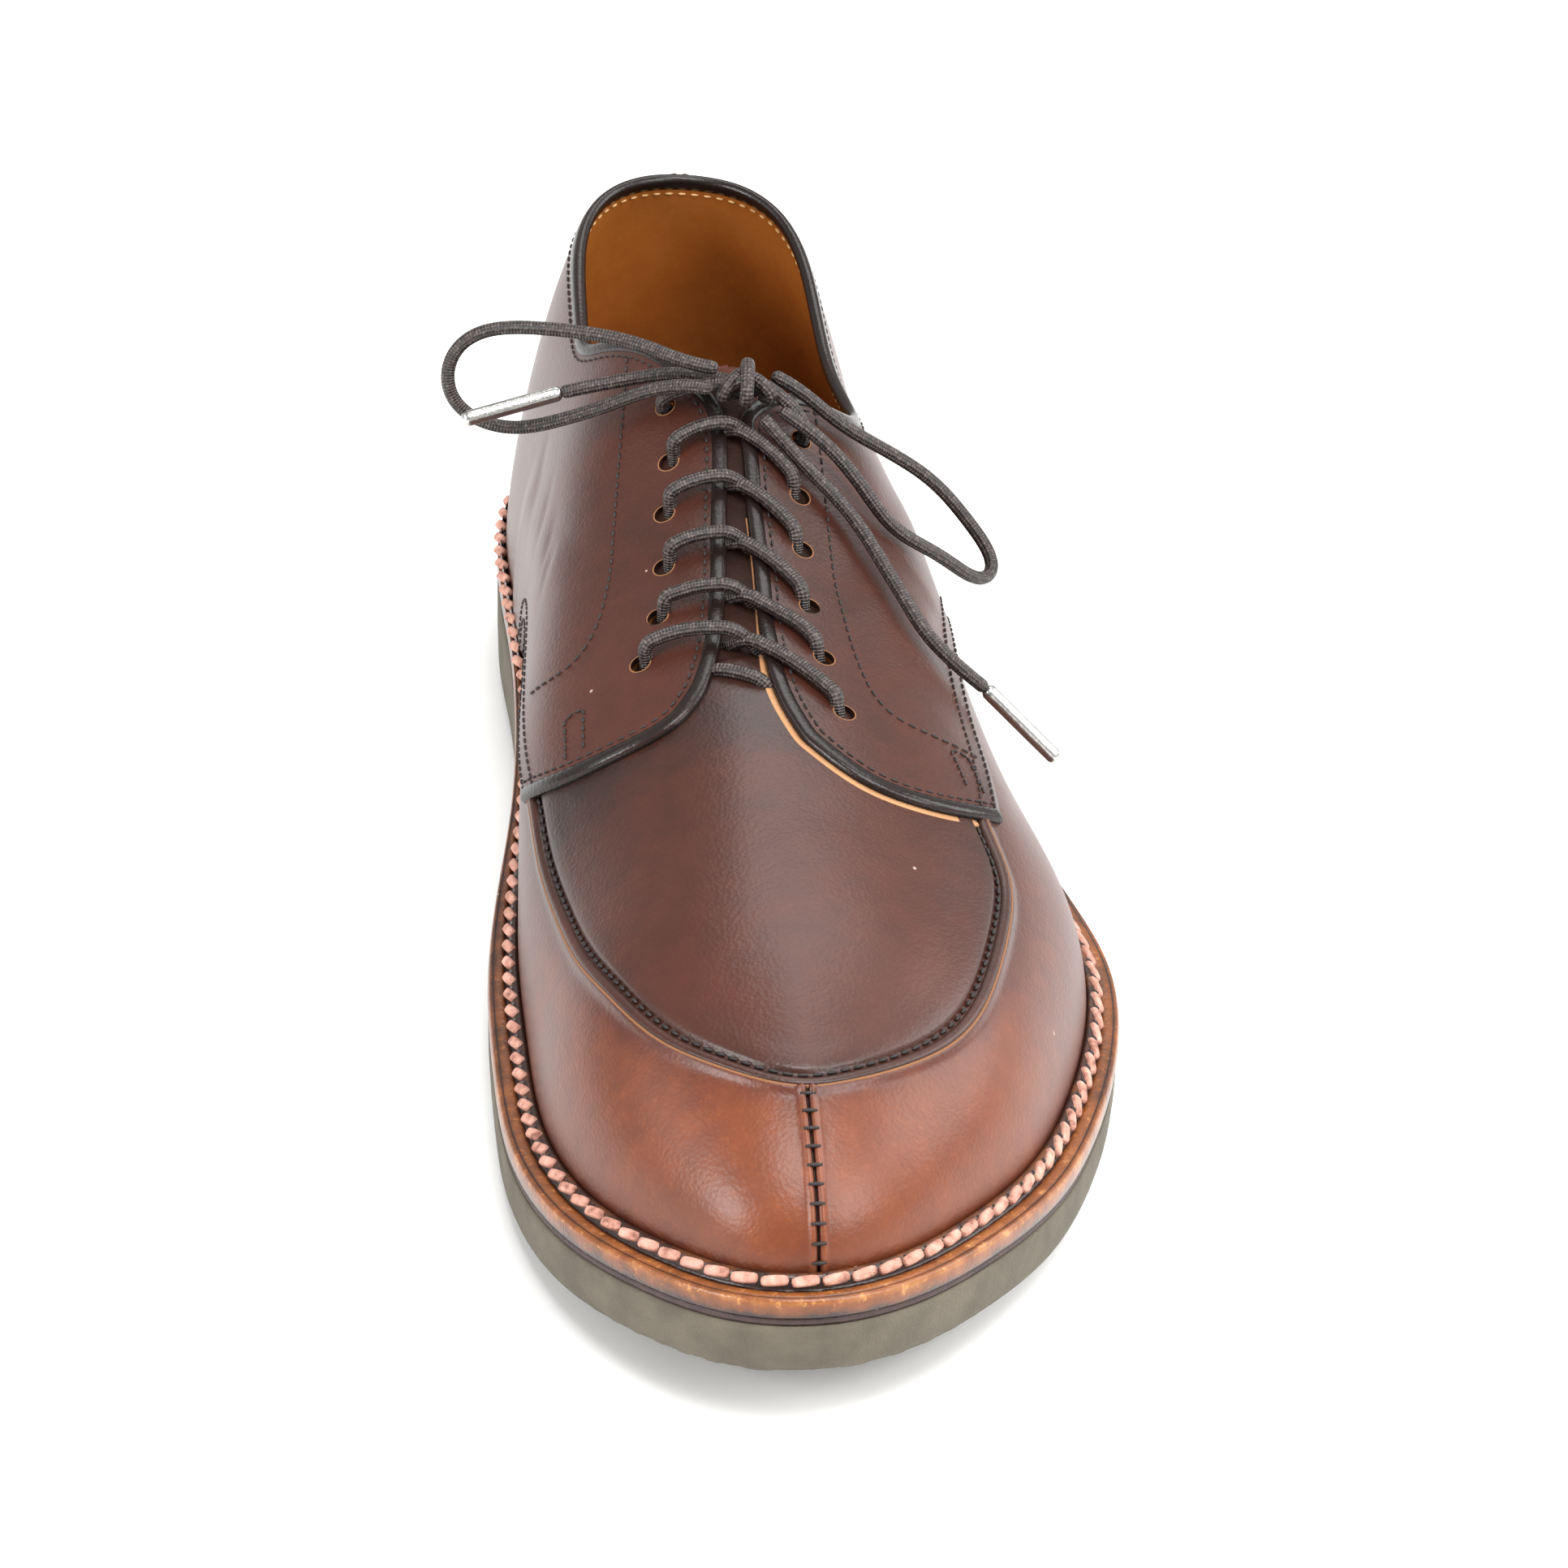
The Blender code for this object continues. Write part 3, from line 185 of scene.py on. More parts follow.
sole_profile = spline(PROFILE[:, 0] * SOLE_LENGTH,
                      np.column_stack([PROFILE[:, 1] * TOE_SPRING + PROFILE[:, 2] * ARCH_LIFT,
                                       PROFILE[:, 1] * TOE_SPRING + PROFILE[:, 3] * SEAT_HEIGHT]))
print("edge of the sole", round(LOOP_LENGTH * 1000), "mm round")

# %% The last itself
# Steps for slopes and normals, and the rib share from which the crest's own direction takes over
SLOPE_STEP = 1e-4
NORMAL_STEP = 1e-3
CREST_FROM, CREST_BAND = 0.97, 0.03


def tread_height(y):
    """Height of the tread above the floor."""
    return np.maximum(sole_profile(y)[..., 0], 0.0)


def seat_height(y):
    """Height of the seat that carries the upper."""
    return sole_profile(y)[..., 1]


def edge(u):
    """Plan of the sole's edge at a share of the loop."""
    return raw_edge(u) - CENTRE


def inward(u):
    """Level direction from the edge into the shoe."""
    run = unit(edge(np.asarray(u) + SLOPE_STEP) - edge(np.asarray(u) - SLOPE_STEP))
    return np.stack([run[..., 1], -run[..., 0]], -1)


def ridge_slope(y):
    """Slope of the ridge along the shoe."""
    return (ridge_line(y + SLOPE_STEP)[..., 0] - ridge_line(y - SLOPE_STEP)[..., 0]) / (2 * SLOPE_STEP)


def last(u, t):
    """Point of the last at a loop share and a rib share."""
    u, t = np.broadcast_arrays(np.asarray(u, float), np.asarray(t, float))
    reach, square, bulge, ridge_share = np.moveaxis(rib_traits(u), -1, 0)
    foot = edge(u) + inward(u) * (reach * WELT_REACH)[..., None]
    ridge_y = ridge_share * SOLE_LENGTH
    ridge_z, ridge_x = np.moveaxis(ridge_line(ridge_y), -1, 0)
    run = np.stack([ridge_x, ridge_y], -1) - foot
    length = np.linalg.norm(run, axis=-1)
    turn = t * np.pi / 2
    across = length * (1 - np.cos(turn).clip(0) ** (2 / square))
    across = across - bulge * BULGE * np.sin(np.pi * t) ** 2 * (1 - t)
    plan = foot + run * (across / length)[..., None]
    low = seat_height(foot[..., 1]) + GAP
    lid = ridge_z + ridge_slope(ridge_y) * (plan[..., 1] - ridge_y)
    height = low + (lid - low) * np.sin(turn).clip(0) ** (2 / square)
    return np.concatenate([plan, height[..., None]], -1)


def outward(u, t):
    """Direction that points out of the last."""
    u, t = np.broadcast_arrays(np.asarray(u, float), np.asarray(t, float))
    round_loop = last(u - NORMAL_STEP, t) - last(u + NORMAL_STEP, t)
    up_rib = last(u, np.minimum(t + NORMAL_STEP, 1.0)) - last(u, np.maximum(t - NORMAL_STEP, 0.0))
    slope = ridge_slope(rib_traits(u)[..., 3] * SOLE_LENGTH)
    crest = np.stack([np.zeros_like(slope), -slope, np.ones_like(slope)], -1)
    share = smooth_step((t - CREST_FROM) / CREST_BAND)[..., None]
    return unit(unit(np.cross(round_loop, up_rib)) * (1 - share) + unit(crest) * share)


def off_last(u, t, distance):
    """Point at a distance outside the last."""
    return last(u, t) + outward(u, t) * np.asarray(distance)[..., None]


def rib_length(u):
    """Length of a rib from the feather to the ridge."""
    path = last(np.asarray(u)[..., None], np.linspace(0, 1, 21))
    return np.linalg.norm(np.diff(path, axis=-2), axis=-1).sum(axis=-1)


net_u, net_t = np.meshgrid(np.linspace(0, 1, 361)[:-1], np.linspace(0, 1, 91), indexing="ij")
net = last(net_u, net_t)
print("height of the last", round(net[..., 2].max() * 1000, 1), "mm")

# %% Finding a place on the last


def snap_points(targets, up_share=None):
    """Loop and rib shares of the last's nearest points to points in metres."""
    targets = np.atleast_2d(targets)
    ridge_x = np.interp(targets[:, 1], RIDGE[:, 0] * SOLE_LENGTH, RIDGE[:, 2] * SOLE_WIDTH - CENTRE[0])
    found = []
    for k, target in enumerate(targets):
        at_feather = up_share is not None and up_share[k] == 0.0
        far = np.linalg.norm(net - target, axis=-1)
        if at_feather:
            far = np.where(net_t > 0, 9.0, np.linalg.norm(net[..., :2] - target[:2], axis=-1))
        far = np.where((net_u < TOE) == (target[0] > ridge_x[k]), far, 9.0)
        best = np.unravel_index(np.argmin(far), far.shape)
        uv = np.array([net_u[best], net_t[best]])
        for _ in range(0 if at_feather else 6):
            high = min(uv[1] + SLOPE_STEP, 1.0)
            ends = np.column_stack([last(uv[0] + SLOPE_STEP, uv[1]) - last(uv[0] - SLOPE_STEP, uv[1]),
                                    last(uv[0], high) - last(uv[0], high - 2 * SLOPE_STEP)])
            slopes = ends / (2 * SLOPE_STEP)
            move = np.linalg.lstsq(slopes, target - last(*uv), rcond=None)[0]
            uv = uv + np.clip(move, -0.01, 0.01)
            uv[1] = min(max(uv[1], 0.0), 1.0)
        found.append(uv)
    return np.array(found)


def snap(rows):
    """The same for rows of out, along and up shares."""
    rows = np.asarray(rows, float)
    return snap_points(rows * SIZES - (CENTRE[0], CENTRE[1], 0.0), rows[:, 2])


def edge_curve(rows):
    """Rib share of a line on the last as a function of the loop share."""
    uv = snap(rows)
    uv = uv[np.argsort(uv[:, 0])]
    curve = spline(uv[:, 0], uv[:, 1])
    return lambda u: curve(np.clip(u, uv[0, 0], uv[-1, 0])), uv[0, 0], uv[-1, 0]


# %% Lines drawn on the last
# out, along and up shares of the sole's width, its length and the last's height
APRON_SEAM = [(0.330, -0.090, 0.480), (0.319, -0.157, 0.470), (0.332, -0.189, 0.444), (0.318, -0.234, 0.432),
              (0.269, -0.295, 0.431), (0.179, -0.356, 0.432), (0.060, -0.390, 0.448), (-0.040, -0.402, 0.455),
              (-0.123, -0.389, 0.456), (-0.217, -0.353, 0.448), (-0.285, -0.293, 0.434), (-0.318, -0.240, 0.408),
              (-0.331, -0.186, 0.386), (-0.343, -0.117, 0.384), (-0.344, -0.072, 0.402), (-0.342, 0.000, 0.410)]
VAMP_EDGE_OUTER = [(0.000, -0.055, 0.655), (0.110, -0.035, 0.640), (0.240, 0.010, 0.600), (0.330, 0.090, 0.560),
                   (0.350, 0.160, 0.500), (0.340, 0.215, 0.430)]
VAMP_EDGE_INNER = [(-0.048, -0.055, 0.655), (-0.130, -0.035, 0.640), (-0.240, 0.020, 0.600), (-0.320, 0.100, 0.520),
                   (-0.345, 0.170, 0.460), (-0.330, 0.235, 0.420)]
# Quarters, column by column: lower edge, then the edge of facing or collar
QUARTER_COLUMNS = np.array([
    (0.343, -0.142, 0.455, 0.043, -0.127, 0.603), (0.345, -0.112, 0.456, 0.020, -0.098, 0.620),
    (0.347, -0.075, 0.456, 0.008, -0.064, 0.640), (0.346, -0.025, 0.458, 0.010, -0.015, 0.672),
    (0.346, 0.020, 0.460, 0.016, 0.033, 0.708), (0.350, 0.058, 0.455, 0.019, 0.078, 0.752),
    (0.356, 0.090, 0.445, 0.023, 0.120, 0.800), (0.360, 0.108, 0.430, 0.028, 0.137, 0.825),
    (0.362, 0.122, 0.410, 0.062, 0.149, 0.840), (0.366, 0.142, 0.365, 0.130, 0.163, 0.830),
    (0.370, 0.160, 0.290, 0.200, 0.176, 0.780), (0.372, 0.172, 0.000, 0.236, 0.194, 0.742),
    (0.370, 0.215, 0.000, 0.248, 0.232, 0.728), (0.355, 0.290, 0.000, 0.235, 0.300, 0.742),
    (0.325, 0.375, 0.000, 0.190, 0.385, 0.785), (0.215, 0.452, 0.000, 0.110, 0.450, 0.832),
    (0.030, 0.487, 0.000, 0.022, 0.474, 0.855), (-0.130, 0.468, 0.000, -0.070, 0.450, 0.842),
    (-0.250, 0.405, 0.000, -0.155, 0.390, 0.812), (-0.292, 0.335, 0.000, -0.210, 0.325, 0.792),
    (-0.295, 0.270, 0.000, -0.222, 0.282, 0.798), (-0.300, 0.215, 0.000, -0.180, 0.255, 0.832),
    (-0.330, 0.200, 0.290, -0.120, 0.226, 0.858), (-0.340, 0.180, 0.350, -0.062, 0.188, 0.866),
    (-0.345, 0.150, 0.385, -0.026, 0.164, 0.850), (-0.347, 0.128, 0.392, -0.006, 0.148, 0.835),
    (-0.350, 0.095, 0.392, -0.002, 0.112, 0.793), (-0.352, 0.050, 0.392, -0.018, 0.062, 0.735),
    (-0.352, 0.012, 0.392, -0.030, 0.022, 0.700), (-0.351, -0.025, 0.392, -0.046, -0.020, 0.668),
    (-0.350, -0.042, 0.392, -0.064, -0.054, 0.645), (-0.349, -0.057, 0.392, -0.085, -0.078, 0.625),
])
FRONT_OUTER = [(0.343, -0.142, 0.455), (0.233, -0.165, 0.523), (0.141, -0.163, 0.563), (0.043, -0.127, 0.603)]
FRONT_INNER = [(-0.349, -0.057, 0.392), (-0.304, -0.088, 0.470), (-0.238, -0.103, 0.533),
               (-0.128, -0.100, 0.601), (-0.085, -0.078, 0.625)]
EYELETS_OUTER = [(0.118, 0.130, 0.780), (0.104, 0.085, 0.736), (0.095, 0.042, 0.696), (0.091, -0.006, 0.659),
                 (0.097, -0.052, 0.628), (0.113, -0.100, 0.599)]
EYELETS_INNER = [(-0.082, 0.158, 0.813), (-0.089, 0.116, 0.764), (-0.106, 0.078, 0.720), (-0.119, 0.035, 0.682),
                 (-0.138, -0.007, 0.647), (-0.172, -0.040, 0.611)]

seam_share, seam_start, seam_end = edge_curve(APRON_SEAM)
vamp_top_outer, vamp_back_outer, throat_outer = edge_curve(VAMP_EDGE_OUTER)
vamp_top_inner, throat_inner, vamp_back_inner = edge_curve(VAMP_EDGE_INNER)


def ridge_partner(share, inner_side):
    """Loop share on one side of the shoe whose rib ends at a share of the ridge."""
    u = np.linspace(TOE, loop_knots[-1], 1200) if inner_side else np.linspace(0.0, TOE, 1200)
    ends = rib_traits(u)[:, 3]
    return np.interp(share, ends, u) if inner_side else np.interp(-share, -ends, u)


def vamp_top(u):
    """Rib share where the vamp ends."""
    front = (u > throat_outer) & (u < throat_inner)
    return np.where(front, 1.0, np.where(u < TOE, vamp_top_outer(u), vamp_top_inner(u)))


def lap_lift(u, t):
    """How far the quarter stands off the last where it laps over the vamp."""
    u = np.asarray(u, float) % 1.0
    above = (t - vamp_top(u)) * rib_length(u)
    over_edge = 1.0 - smooth_step((above - LAP_WIDTH / 2) / LAP_WIDTH)
    behind = np.maximum(vamp_back_outer - u, u - vamp_back_inner) * LOOP_LENGTH
    return LAP_LIFT * over_edge * (1.0 - smooth_step((behind - LAP_WIDTH / 2) / LAP_WIDTH))


def over_quarter(u, t, height=0.0):
    """Point at a height over the outside of the quarters."""
    return off_last(u, t, lap_lift(u, t) + QUARTER_WALL + height)


# %% [markdown]
# ## Sheets, strips and threads
# A leather panel could be sculpted, but a grid laid on the last is exact and quick. Each
# sheet starts as bmesh's own grid, and its points are moved to their places on the last. A
# closed tube is the same grid rolled up, with its seam and its poles merged.

# %% Helper for sheets
WELD = 2e-7


def finish_mesh(work, name, finish):
    """Object from a bmesh, shaded smooth, riding on the shoe."""
    mesh = bpy.data.meshes.new(name)
    work.to_mesh(mesh)
    work.free()
    mesh.shade_smooth()
    mesh.materials.append(finish)
    made = bpy.data.objects.new(name, mesh)
    bpy.context.scene.collection.objects.link(made)
    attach(made, "root")
    print(name, len(mesh.polygons), "faces")
    return made


def sheet(name, columns, rows, place, finish, flip=False, closed=False, tone=None):
    """Grid laid by place(column value, row value); tone paints an attribute of the same name."""
    columns, rows = np.asarray(columns, float), np.asarray(rows, float)
    work = bmesh.new()
    work.loops.layers.uv.new("surface")
    bmesh.ops.create_grid(work, x_segments=len(columns) - 1, y_segments=len(rows) - 1, size=0.5, calc_uvs=True)
    shares = np.array([v.co[:2] for v in work.verts]) + 0.5
    a = columns[np.rint(shares[:, 0] * (len(columns) - 1)).astype(int)]
    b = rows[np.rint(shares[:, 1] * (len(rows) - 1)).astype(int)]
    points = place(a, b)
    if tone is not None:
        layer = work.verts.layers.float.new("tone")
        for vert, value in zip(work.verts, tone(a, b, points)):
            vert[layer] = value
    for vert, point in zip(work.verts, points):
        vert.co = point
    if flip:
        bmesh.ops.reverse_faces(work, faces=work.faces)
    if closed:
        bmesh.ops.remove_doubles(work, verts=work.verts, dist=WELD)
        bmesh.ops.recalc_face_normals(work, faces=work.faces)
    return finish_mesh(work, name, finish)


def thicken(made, thickness):
    """Give a sheet its wall, inwards from its outer face."""
    wall = made.modifiers.new("wall", "SOLIDIFY")
    wall.thickness = thickness
    wall.offset = -1.0


def path_frames(points, ups):
    """Directions along, across and out of a line on the surface."""
    along = unit(np.gradient(points, axis=0))
    across = unit(np.cross(ups, along))
    return along, across, np.cross(along, across)


def strip(name, points, ups, profile, finish, tone, wide=None):
    """Strip along a line; profile rows are across and up, in metres; wide widens it along the line."""
    _, across, out = path_frames(points, ups)
    wide = np.ones(len(points)) if wide is None else wide

    def place(a, b):
        i, j = a.astype(int), b.astype(int)
        return points[i] + across[i] * profile[j, :1] * wide[i, None] + out[i] * profile[j, 1:]

    return sheet(name, range(len(points)), range(len(profile)), place, finish, tone=tone)


# %% Helpers for threads and cords


def travel(points):
    """Distance travelled to each point of a line."""
    return np.append(0.0, np.cumsum(np.linalg.norm(np.diff(points, axis=0), axis=1)))


def resample(points, step, ups=None):
    """Points at even steps along a line, with their directions where they are given."""
    travelled = travel(points)
    count = max(2, int(round(travelled[-1] / step)) + 1)
    where = np.linspace(0.0, travelled[-1], count)
    line = np.column_stack([np.interp(where, travelled, points[:, k]) for k in range(3)])
    if ups is None:
        return line
    return line, np.column_stack([np.interp(where, travelled, ups[:, k]) for k in range(3)])


# Pitch, length and width of each kind of stitch
STITCHES = {"apron": (0.0025, 0.0021, 0.00072), "toe": (0.0032, 0.0031, 0.00072),
            "binding": (0.0023, 0.0017, 0.0005), "lining": (0.0026, 0.0018, 0.0005),
            "eyestay": (0.0024, 0.0018, 0.00055), "arch": (0.0023, 0.0017, 0.00055),
            "bar_tack": (0.0020, 0.0017, 0.0006), "welt": (0.0050, 0.0047, 0.0019),
            "welt_gap": (0.0050, 0.0023, 0.0008)}


def thread(name, kind, points, ups, finish=None, sink=0.0, turn=None, segments=6, rings=5, blunt=1.0):
    """Row of stitches: small rounded bodies along a line, in one mesh; blunt below 1 squares their ends."""
    pitch, length, width = STITCHES[kind]
    line, up = resample(points, pitch, ups)
    along, across, out = path_frames(line, up)
    turns = np.zeros(len(line)) if turn is None else turn(line)
    work = bmesh.new()
    for k in range(len(line)):
        lean = along[k] * np.cos(turns[k]) + across[k] * np.sin(turns[k])
        side = np.cross(out[k], lean)
        place = Matrix.Identity(4)
        for row in range(3):
            place[row][0], place[row][1], place[row][2] = lean[row], side[row], out[k][row]
            place[row][3] = line[k][row] - out[k][row] * sink
        size = Matrix.Diagonal((length / 2, width / 2, width / 2, 1.0))
        body = bmesh.ops.create_uvsphere(work, u_segments=segments, v_segments=rings, radius=1.0)["verts"]
        for vert in body:
            vert.co = Vector([np.sign(c) * abs(c) ** blunt for c in vert.co])
        bmesh.ops.transform(work, matrix=place @ size, verts=body)
    return finish_mesh(work, name, finish or DARK_THREAD)


def crossways(line):
    """Turn that lays every stitch across its row."""
    return np.full(len(line), np.pi / 2)


def cord(name, points, diameter, finish, sides=14):
    """Round cord through the points, closed by rounded ends."""
    tangents = unit(np.gradient(points, axis=0))
    side = np.cross(tangents[0], (0.3, 0.2, 1.0))
    sides_out = []
    for tangent in tangents:
        side = side - tangent * side.dot(tangent)
        side /= np.linalg.norm(side)
        sides_out.append(side)
    sides_out = np.array(sides_out)
    others = np.cross(tangents, sides_out)
    travelled = travel(points)
    from_end = np.minimum(travelled, travelled[-1] - travelled)
    radius = diameter / 2 * np.sqrt(np.clip(1 - np.square(1 - np.clip(from_end / (diameter / 2), 0, 1)), 0, 1))

    def place(a, b):
        i = a.astype(int)
        return points[i] + (sides_out[i] * np.cos(b)[:, None] + others[i] * np.sin(b)[:, None]) * radius[i, None]

    made = sheet(name, range(len(points)), np.linspace(0, 2 * np.pi, sides + 1), place, finish, closed=True)
    uv = made.data.uv_layers["surface"]
    values = np.empty(len(uv.data) * 2)
    uv.data.foreach_get("uv", values)
    values[0::2] *= travelled[-1] / diameter
    uv.data.foreach_set("uv", values)
    return made


# %% [markdown]
# ## Finishes
# Waxed leather is not one brown. The apron and the facings are darker, partly by painted shade under
# the facings and the laces, the toe wall is burnished to a reddish tan, and pores, mottling and faint
# dust break up the gloss. All of it comes from noise in the shoe's own coordinates, and a painted
# attribute called tone says where the leather is darker or lighter, painted shade in seams, grooves
# and under edges included.

# %% Helpers for node materials


def plug(value, place):
    """Link a wire to a socket, or give the socket a fixed value."""
    if isinstance(value, Wire):
        place.id_data.links.new(value.socket, place)
    else:
        place.default_value = value


class Wire:
    """Output of a node; adding, subtracting or multiplying it adds a math node."""

    def __init__(self, socket):
        self.socket = socket

    def math(self, kind, *others):
        """Math node of this wire and the others."""
        made = self.socket.id_data.nodes.new("ShaderNodeMath")
        made.operation = kind
        for value, place in zip((self, *others), made.inputs):
            plug(value, place)
        return Wire(made.outputs[0])

    def __add__(self, other):
        return self.math("ADD", other)

    def __sub__(self, other):
        return self.math("SUBTRACT", other)

    def __mul__(self, other):
        return self.math("MULTIPLY", other)


class Finish:
    """New material, with helpers that add nodes to it."""

    def __init__(self, name):
        self.material = bpy.data.materials.new(name)
        self.material.use_nodes = True
        self.tree = self.material.node_tree
        self.place = self.node("ShaderNodeTexCoord", "Object")

    def set(self, values):
        """Give values or wires to the shader."""
        for key, value in values.items():
            plug(value, self.tree.nodes["Principled BSDF"].inputs[key])

    def node(self, kind, output, inputs=(), **settings):
        """Add a node and return one of its outputs."""
        made = self.tree.nodes.new(kind)
        for key, value in settings.items():
            setattr(made, key, value)
        for key, value in dict(inputs).items():
            plug(value, made.inputs[key])
        return Wire(made.outputs[output])

    def noise(self, scale, detail=3.0, roughness=0.55):
        """Noise in the shoe's own coordinates; scale is in lumps a metre."""
        return self.node("ShaderNodeTexNoise", "Fac", {"Vector": self.place, "Scale": scale, "Detail": detail,
                                                       "Roughness": roughness})

    def cells(self, scale):
        """Distance from the middle of round cells; scale is in cells a metre."""
        return self.node("ShaderNodeTexVoronoi", "Distance", {"Vector": self.place, "Scale": scale})

    def ramp(self, factor, stops):
        """Colour ramp with the given stops."""
        made = self.node("ShaderNodeValToRGB", "Color", {"Fac": factor})
        band = made.socket.node.color_ramp.elements
        while len(band) < len(stops):
            band.new(0.5)
        for element, (place, colour) in zip(band, stops):
            element.position = place
            element.color = (*colour, 1.0)
        return made

    def bump(self, height, distance):
        """Bump from a height in shares of a distance in metres."""
        self.set({"Normal": self.node("ShaderNodeBump", "Normal", {"Height": height, "Distance": distance})})


# %% Leather
DUST = (0.50, 0.40, 0.33, 1.0)
# Places of factor, first and second colour in a mix node, and of its colour output
MIX_FACTOR, MIX_FIRST, MIX_SECOND, MIX_RESULT = 0, 6, 7, 2


def leather(name, *colours, roughness=0.42, coat=0.12, grain=1.0, dust=0.6, worn=0.12, gleam=0.34):
    """Waxed calf from dark to light, led by the tone attribute, with pores, wrinkles and dust."""
    made = Finish(name)
    tone = made.node("ShaderNodeAttribute", "Fac", attribute_name="tone")
    clouds = made.noise(26.0, 4.0)
    mottle = made.noise(190.0, 5.0, 0.6)
    shade = tone + (clouds - 0.5) * 0.42 + (mottle - 0.5) * (0.20 + worn)
    flecks = (made.noise(620.0, 4.0, 0.7) - 0.56).math("MAXIMUM", 0.0) * tone.math("MAXIMUM", 0.0)
    colour = made.ramp(shade + flecks * (9.0 * worn), list(zip((0.0, 0.5, 1.0), colours)))
    dots = made.cells(150.0).math("LESS_THAN", 0.055)
    rare = made.noise(45.0, 1.0).math("GREATER_THAN", 0.62)
    dusty = made.node("ShaderNodeMix", MIX_RESULT,
                      {MIX_FACTOR: dots * rare * dust, MIX_FIRST: colour, MIX_SECOND: DUST}, data_type="RGBA")
    pores = made.cells(1300.0) * (0.35 * grain)
    wrinkles = made.noise(2600.0, 2.0) * (0.20 * grain) + made.noise(420.0, 4.0, 0.6) * 0.30
    made.bump(pores + wrinkles, 0.00016)
    made.set({"Base Color": dusty, "Roughness": clouds * 0.18 + (roughness - 0.09), "Coat Weight": coat,
              "Coat Roughness": 0.28, "Specular IOR Level": gleam})
    return made.material


UPPER_BROWN = leather("waxed_brown_calf", (0.016, 0.006, 0.004), (0.070, 0.0155, 0.0072), (0.212, 0.051, 0.0122),
                      roughness=0.39, coat=0.16)
BINDING_BROWN = leather("glossy_binding", (0.006, 0.004, 0.003), (0.010, 0.006, 0.005), (0.018, 0.011, 0.008),
                        roughness=0.26, coat=0.10, grain=0.7, dust=0.0, gleam=0.26)
LINING_TAN = leather("glazed_lining", (0.10, 0.028, 0.006), (0.31, 0.092, 0.014), (0.46, 0.165, 0.030),
                     roughness=0.38, coat=0.10, grain=0.4, dust=0.2)
RAW_EDGE = leather("raw_tan_edge", (0.20, 0.085, 0.035), (0.36, 0.17, 0.075), (0.50, 0.27, 0.13),
                   roughness=0.75, coat=0.0, grain=1.6, dust=0.0)
# the tongue's darkest stop is painted shade, for the tongue seen in the gap between the facings
TONGUE_BROWN_AND_SHADE = leather("tongue_brown_and_shade", (0.007, 0.003, 0.002), (0.055, 0.016, 0.009), (0.10, 0.03, 0.016),
                       roughness=0.60, coat=0.0, gleam=0.12)
WELT_AMBER = leather("amber_welt_leather", (0.022, 0.007, 0.004), (0.205, 0.060, 0.012), (0.44, 0.200, 0.062),
                     roughness=0.34, coat=0.35, grain=1.4, dust=0.9, worn=0.85)
print("leathers ready:", len(bpy.data.materials), "materials")

# %% Sole, thread, lace and metal


def simple(name, stops, scale, roughness, bump_scale, bump_depth, metallic=0.0):
    """Mottled finish: noise between colour stops, with a bump of its own scale."""
    made = Finish(name)
    made.bump(made.noise(bump_scale), bump_depth)
    made.set({"Base Color": made.ramp(made.noise(scale, 4.0), stops), "Roughness": roughness, "Metallic": metallic})
    return made.material


MIDSOLE_DARK = simple("dark_midsole_edge", [(0.3, (0.018, 0.008, 0.008)), (0.7, (0.050, 0.022, 0.020))],
                      200.0, 0.55, 900.0, 0.0003)
OLIVE_FOAM = simple("olive_foam_rubber", [(0.35, (0.088, 0.073, 0.052)), (0.65, (0.120, 0.101, 0.072))],
                    140.0, 0.82, 2200.0, 0.0003)
PINK_THREAD = simple("pink_beige_thread", [(0.30, (0.20, 0.070, 0.045)), (0.45, (0.46, 0.215, 0.155)),
                                           (0.70, (0.64, 0.36, 0.28))],
                     500.0, 0.62, 3500.0, 0.00025)
DARK_THREAD = simple("dark_thread", [(0.3, (0.006, 0.004, 0.004)), (0.7, (0.018, 0.010, 0.009))],
                     800.0, 0.6, 4000.0, 0.0001)
LINING_THREAD = simple("pale_thread", [(0.3, (0.50, 0.28, 0.10)), (0.7, (0.70, 0.45, 0.20))],
                       800.0, 0.6, 4000.0, 0.0001)
# the metal's own colour, made darker to stand for the shade on the inner tip: partly painted shade
TIP_METAL = simple("bright_tip_metal", [(0.3, (0.42, 0.41, 0.39)), (0.7, (0.60, 0.59, 0.56))],
                   300.0, 0.24, 1500.0, 0.00006, metallic=1.0)


def braided_lace(name):
    """Round waxed lace: a fine braid in the cord's own UV, with light flecks; its colour is darker in the braid's
    hollows, painted shade.
    """
    made = Finish(name)
    uv = made.node("ShaderNodeTexCoord", "UV")
    along, around = (made.node("ShaderNodeSeparateXYZ", axis, {"Vector": uv}) * turns
                     for axis, turns in (("X", 2.2), ("Y", 5.0)))
    one, two = ((wave * (2 * np.pi)).math("SINE") for wave in (along + around, along - around))
    braid = (one * two + 1.0) * 0.5
    fleck = made.noise(1400.0, 2.0, 0.6)
    # painted shade: the colour follows the braid's relief, darker in its hollows
    colour = made.ramp(braid * 0.26 + fleck * 0.86, [(0.36, (0.007, 0.0045, 0.004)), (0.60, (0.024, 0.0160, 0.0135)),
                                                     (0.78, (0.118, 0.090, 0.078))])
    made.bump(braid + fleck * 0.3, 0.00022)
    made.set({"Base Color": colour, "Roughness": 0.46})
    return made.material


LACE_BROWN = braided_lace("waxed_lace_braid")
print("finishes ready:", len(bpy.data.materials), "materials")

# %% [markdown]
# ## Camera
# The photograph looks down at the toes by about a third of a right angle, from nearly a
# metre away. The same standpoint is kept, and the camera is turned so that this one shoe
# fills the frame.

# %% Place the camera
STANDPOINT = Vector((-0.1175, -0.8020, 0.5283))
PHOTO_VIEW = Vector((0.0641, 0.8523, -0.5192))
LOOK_AT = Vector((0.000, -0.012, 0.041))
LENS = 118.0

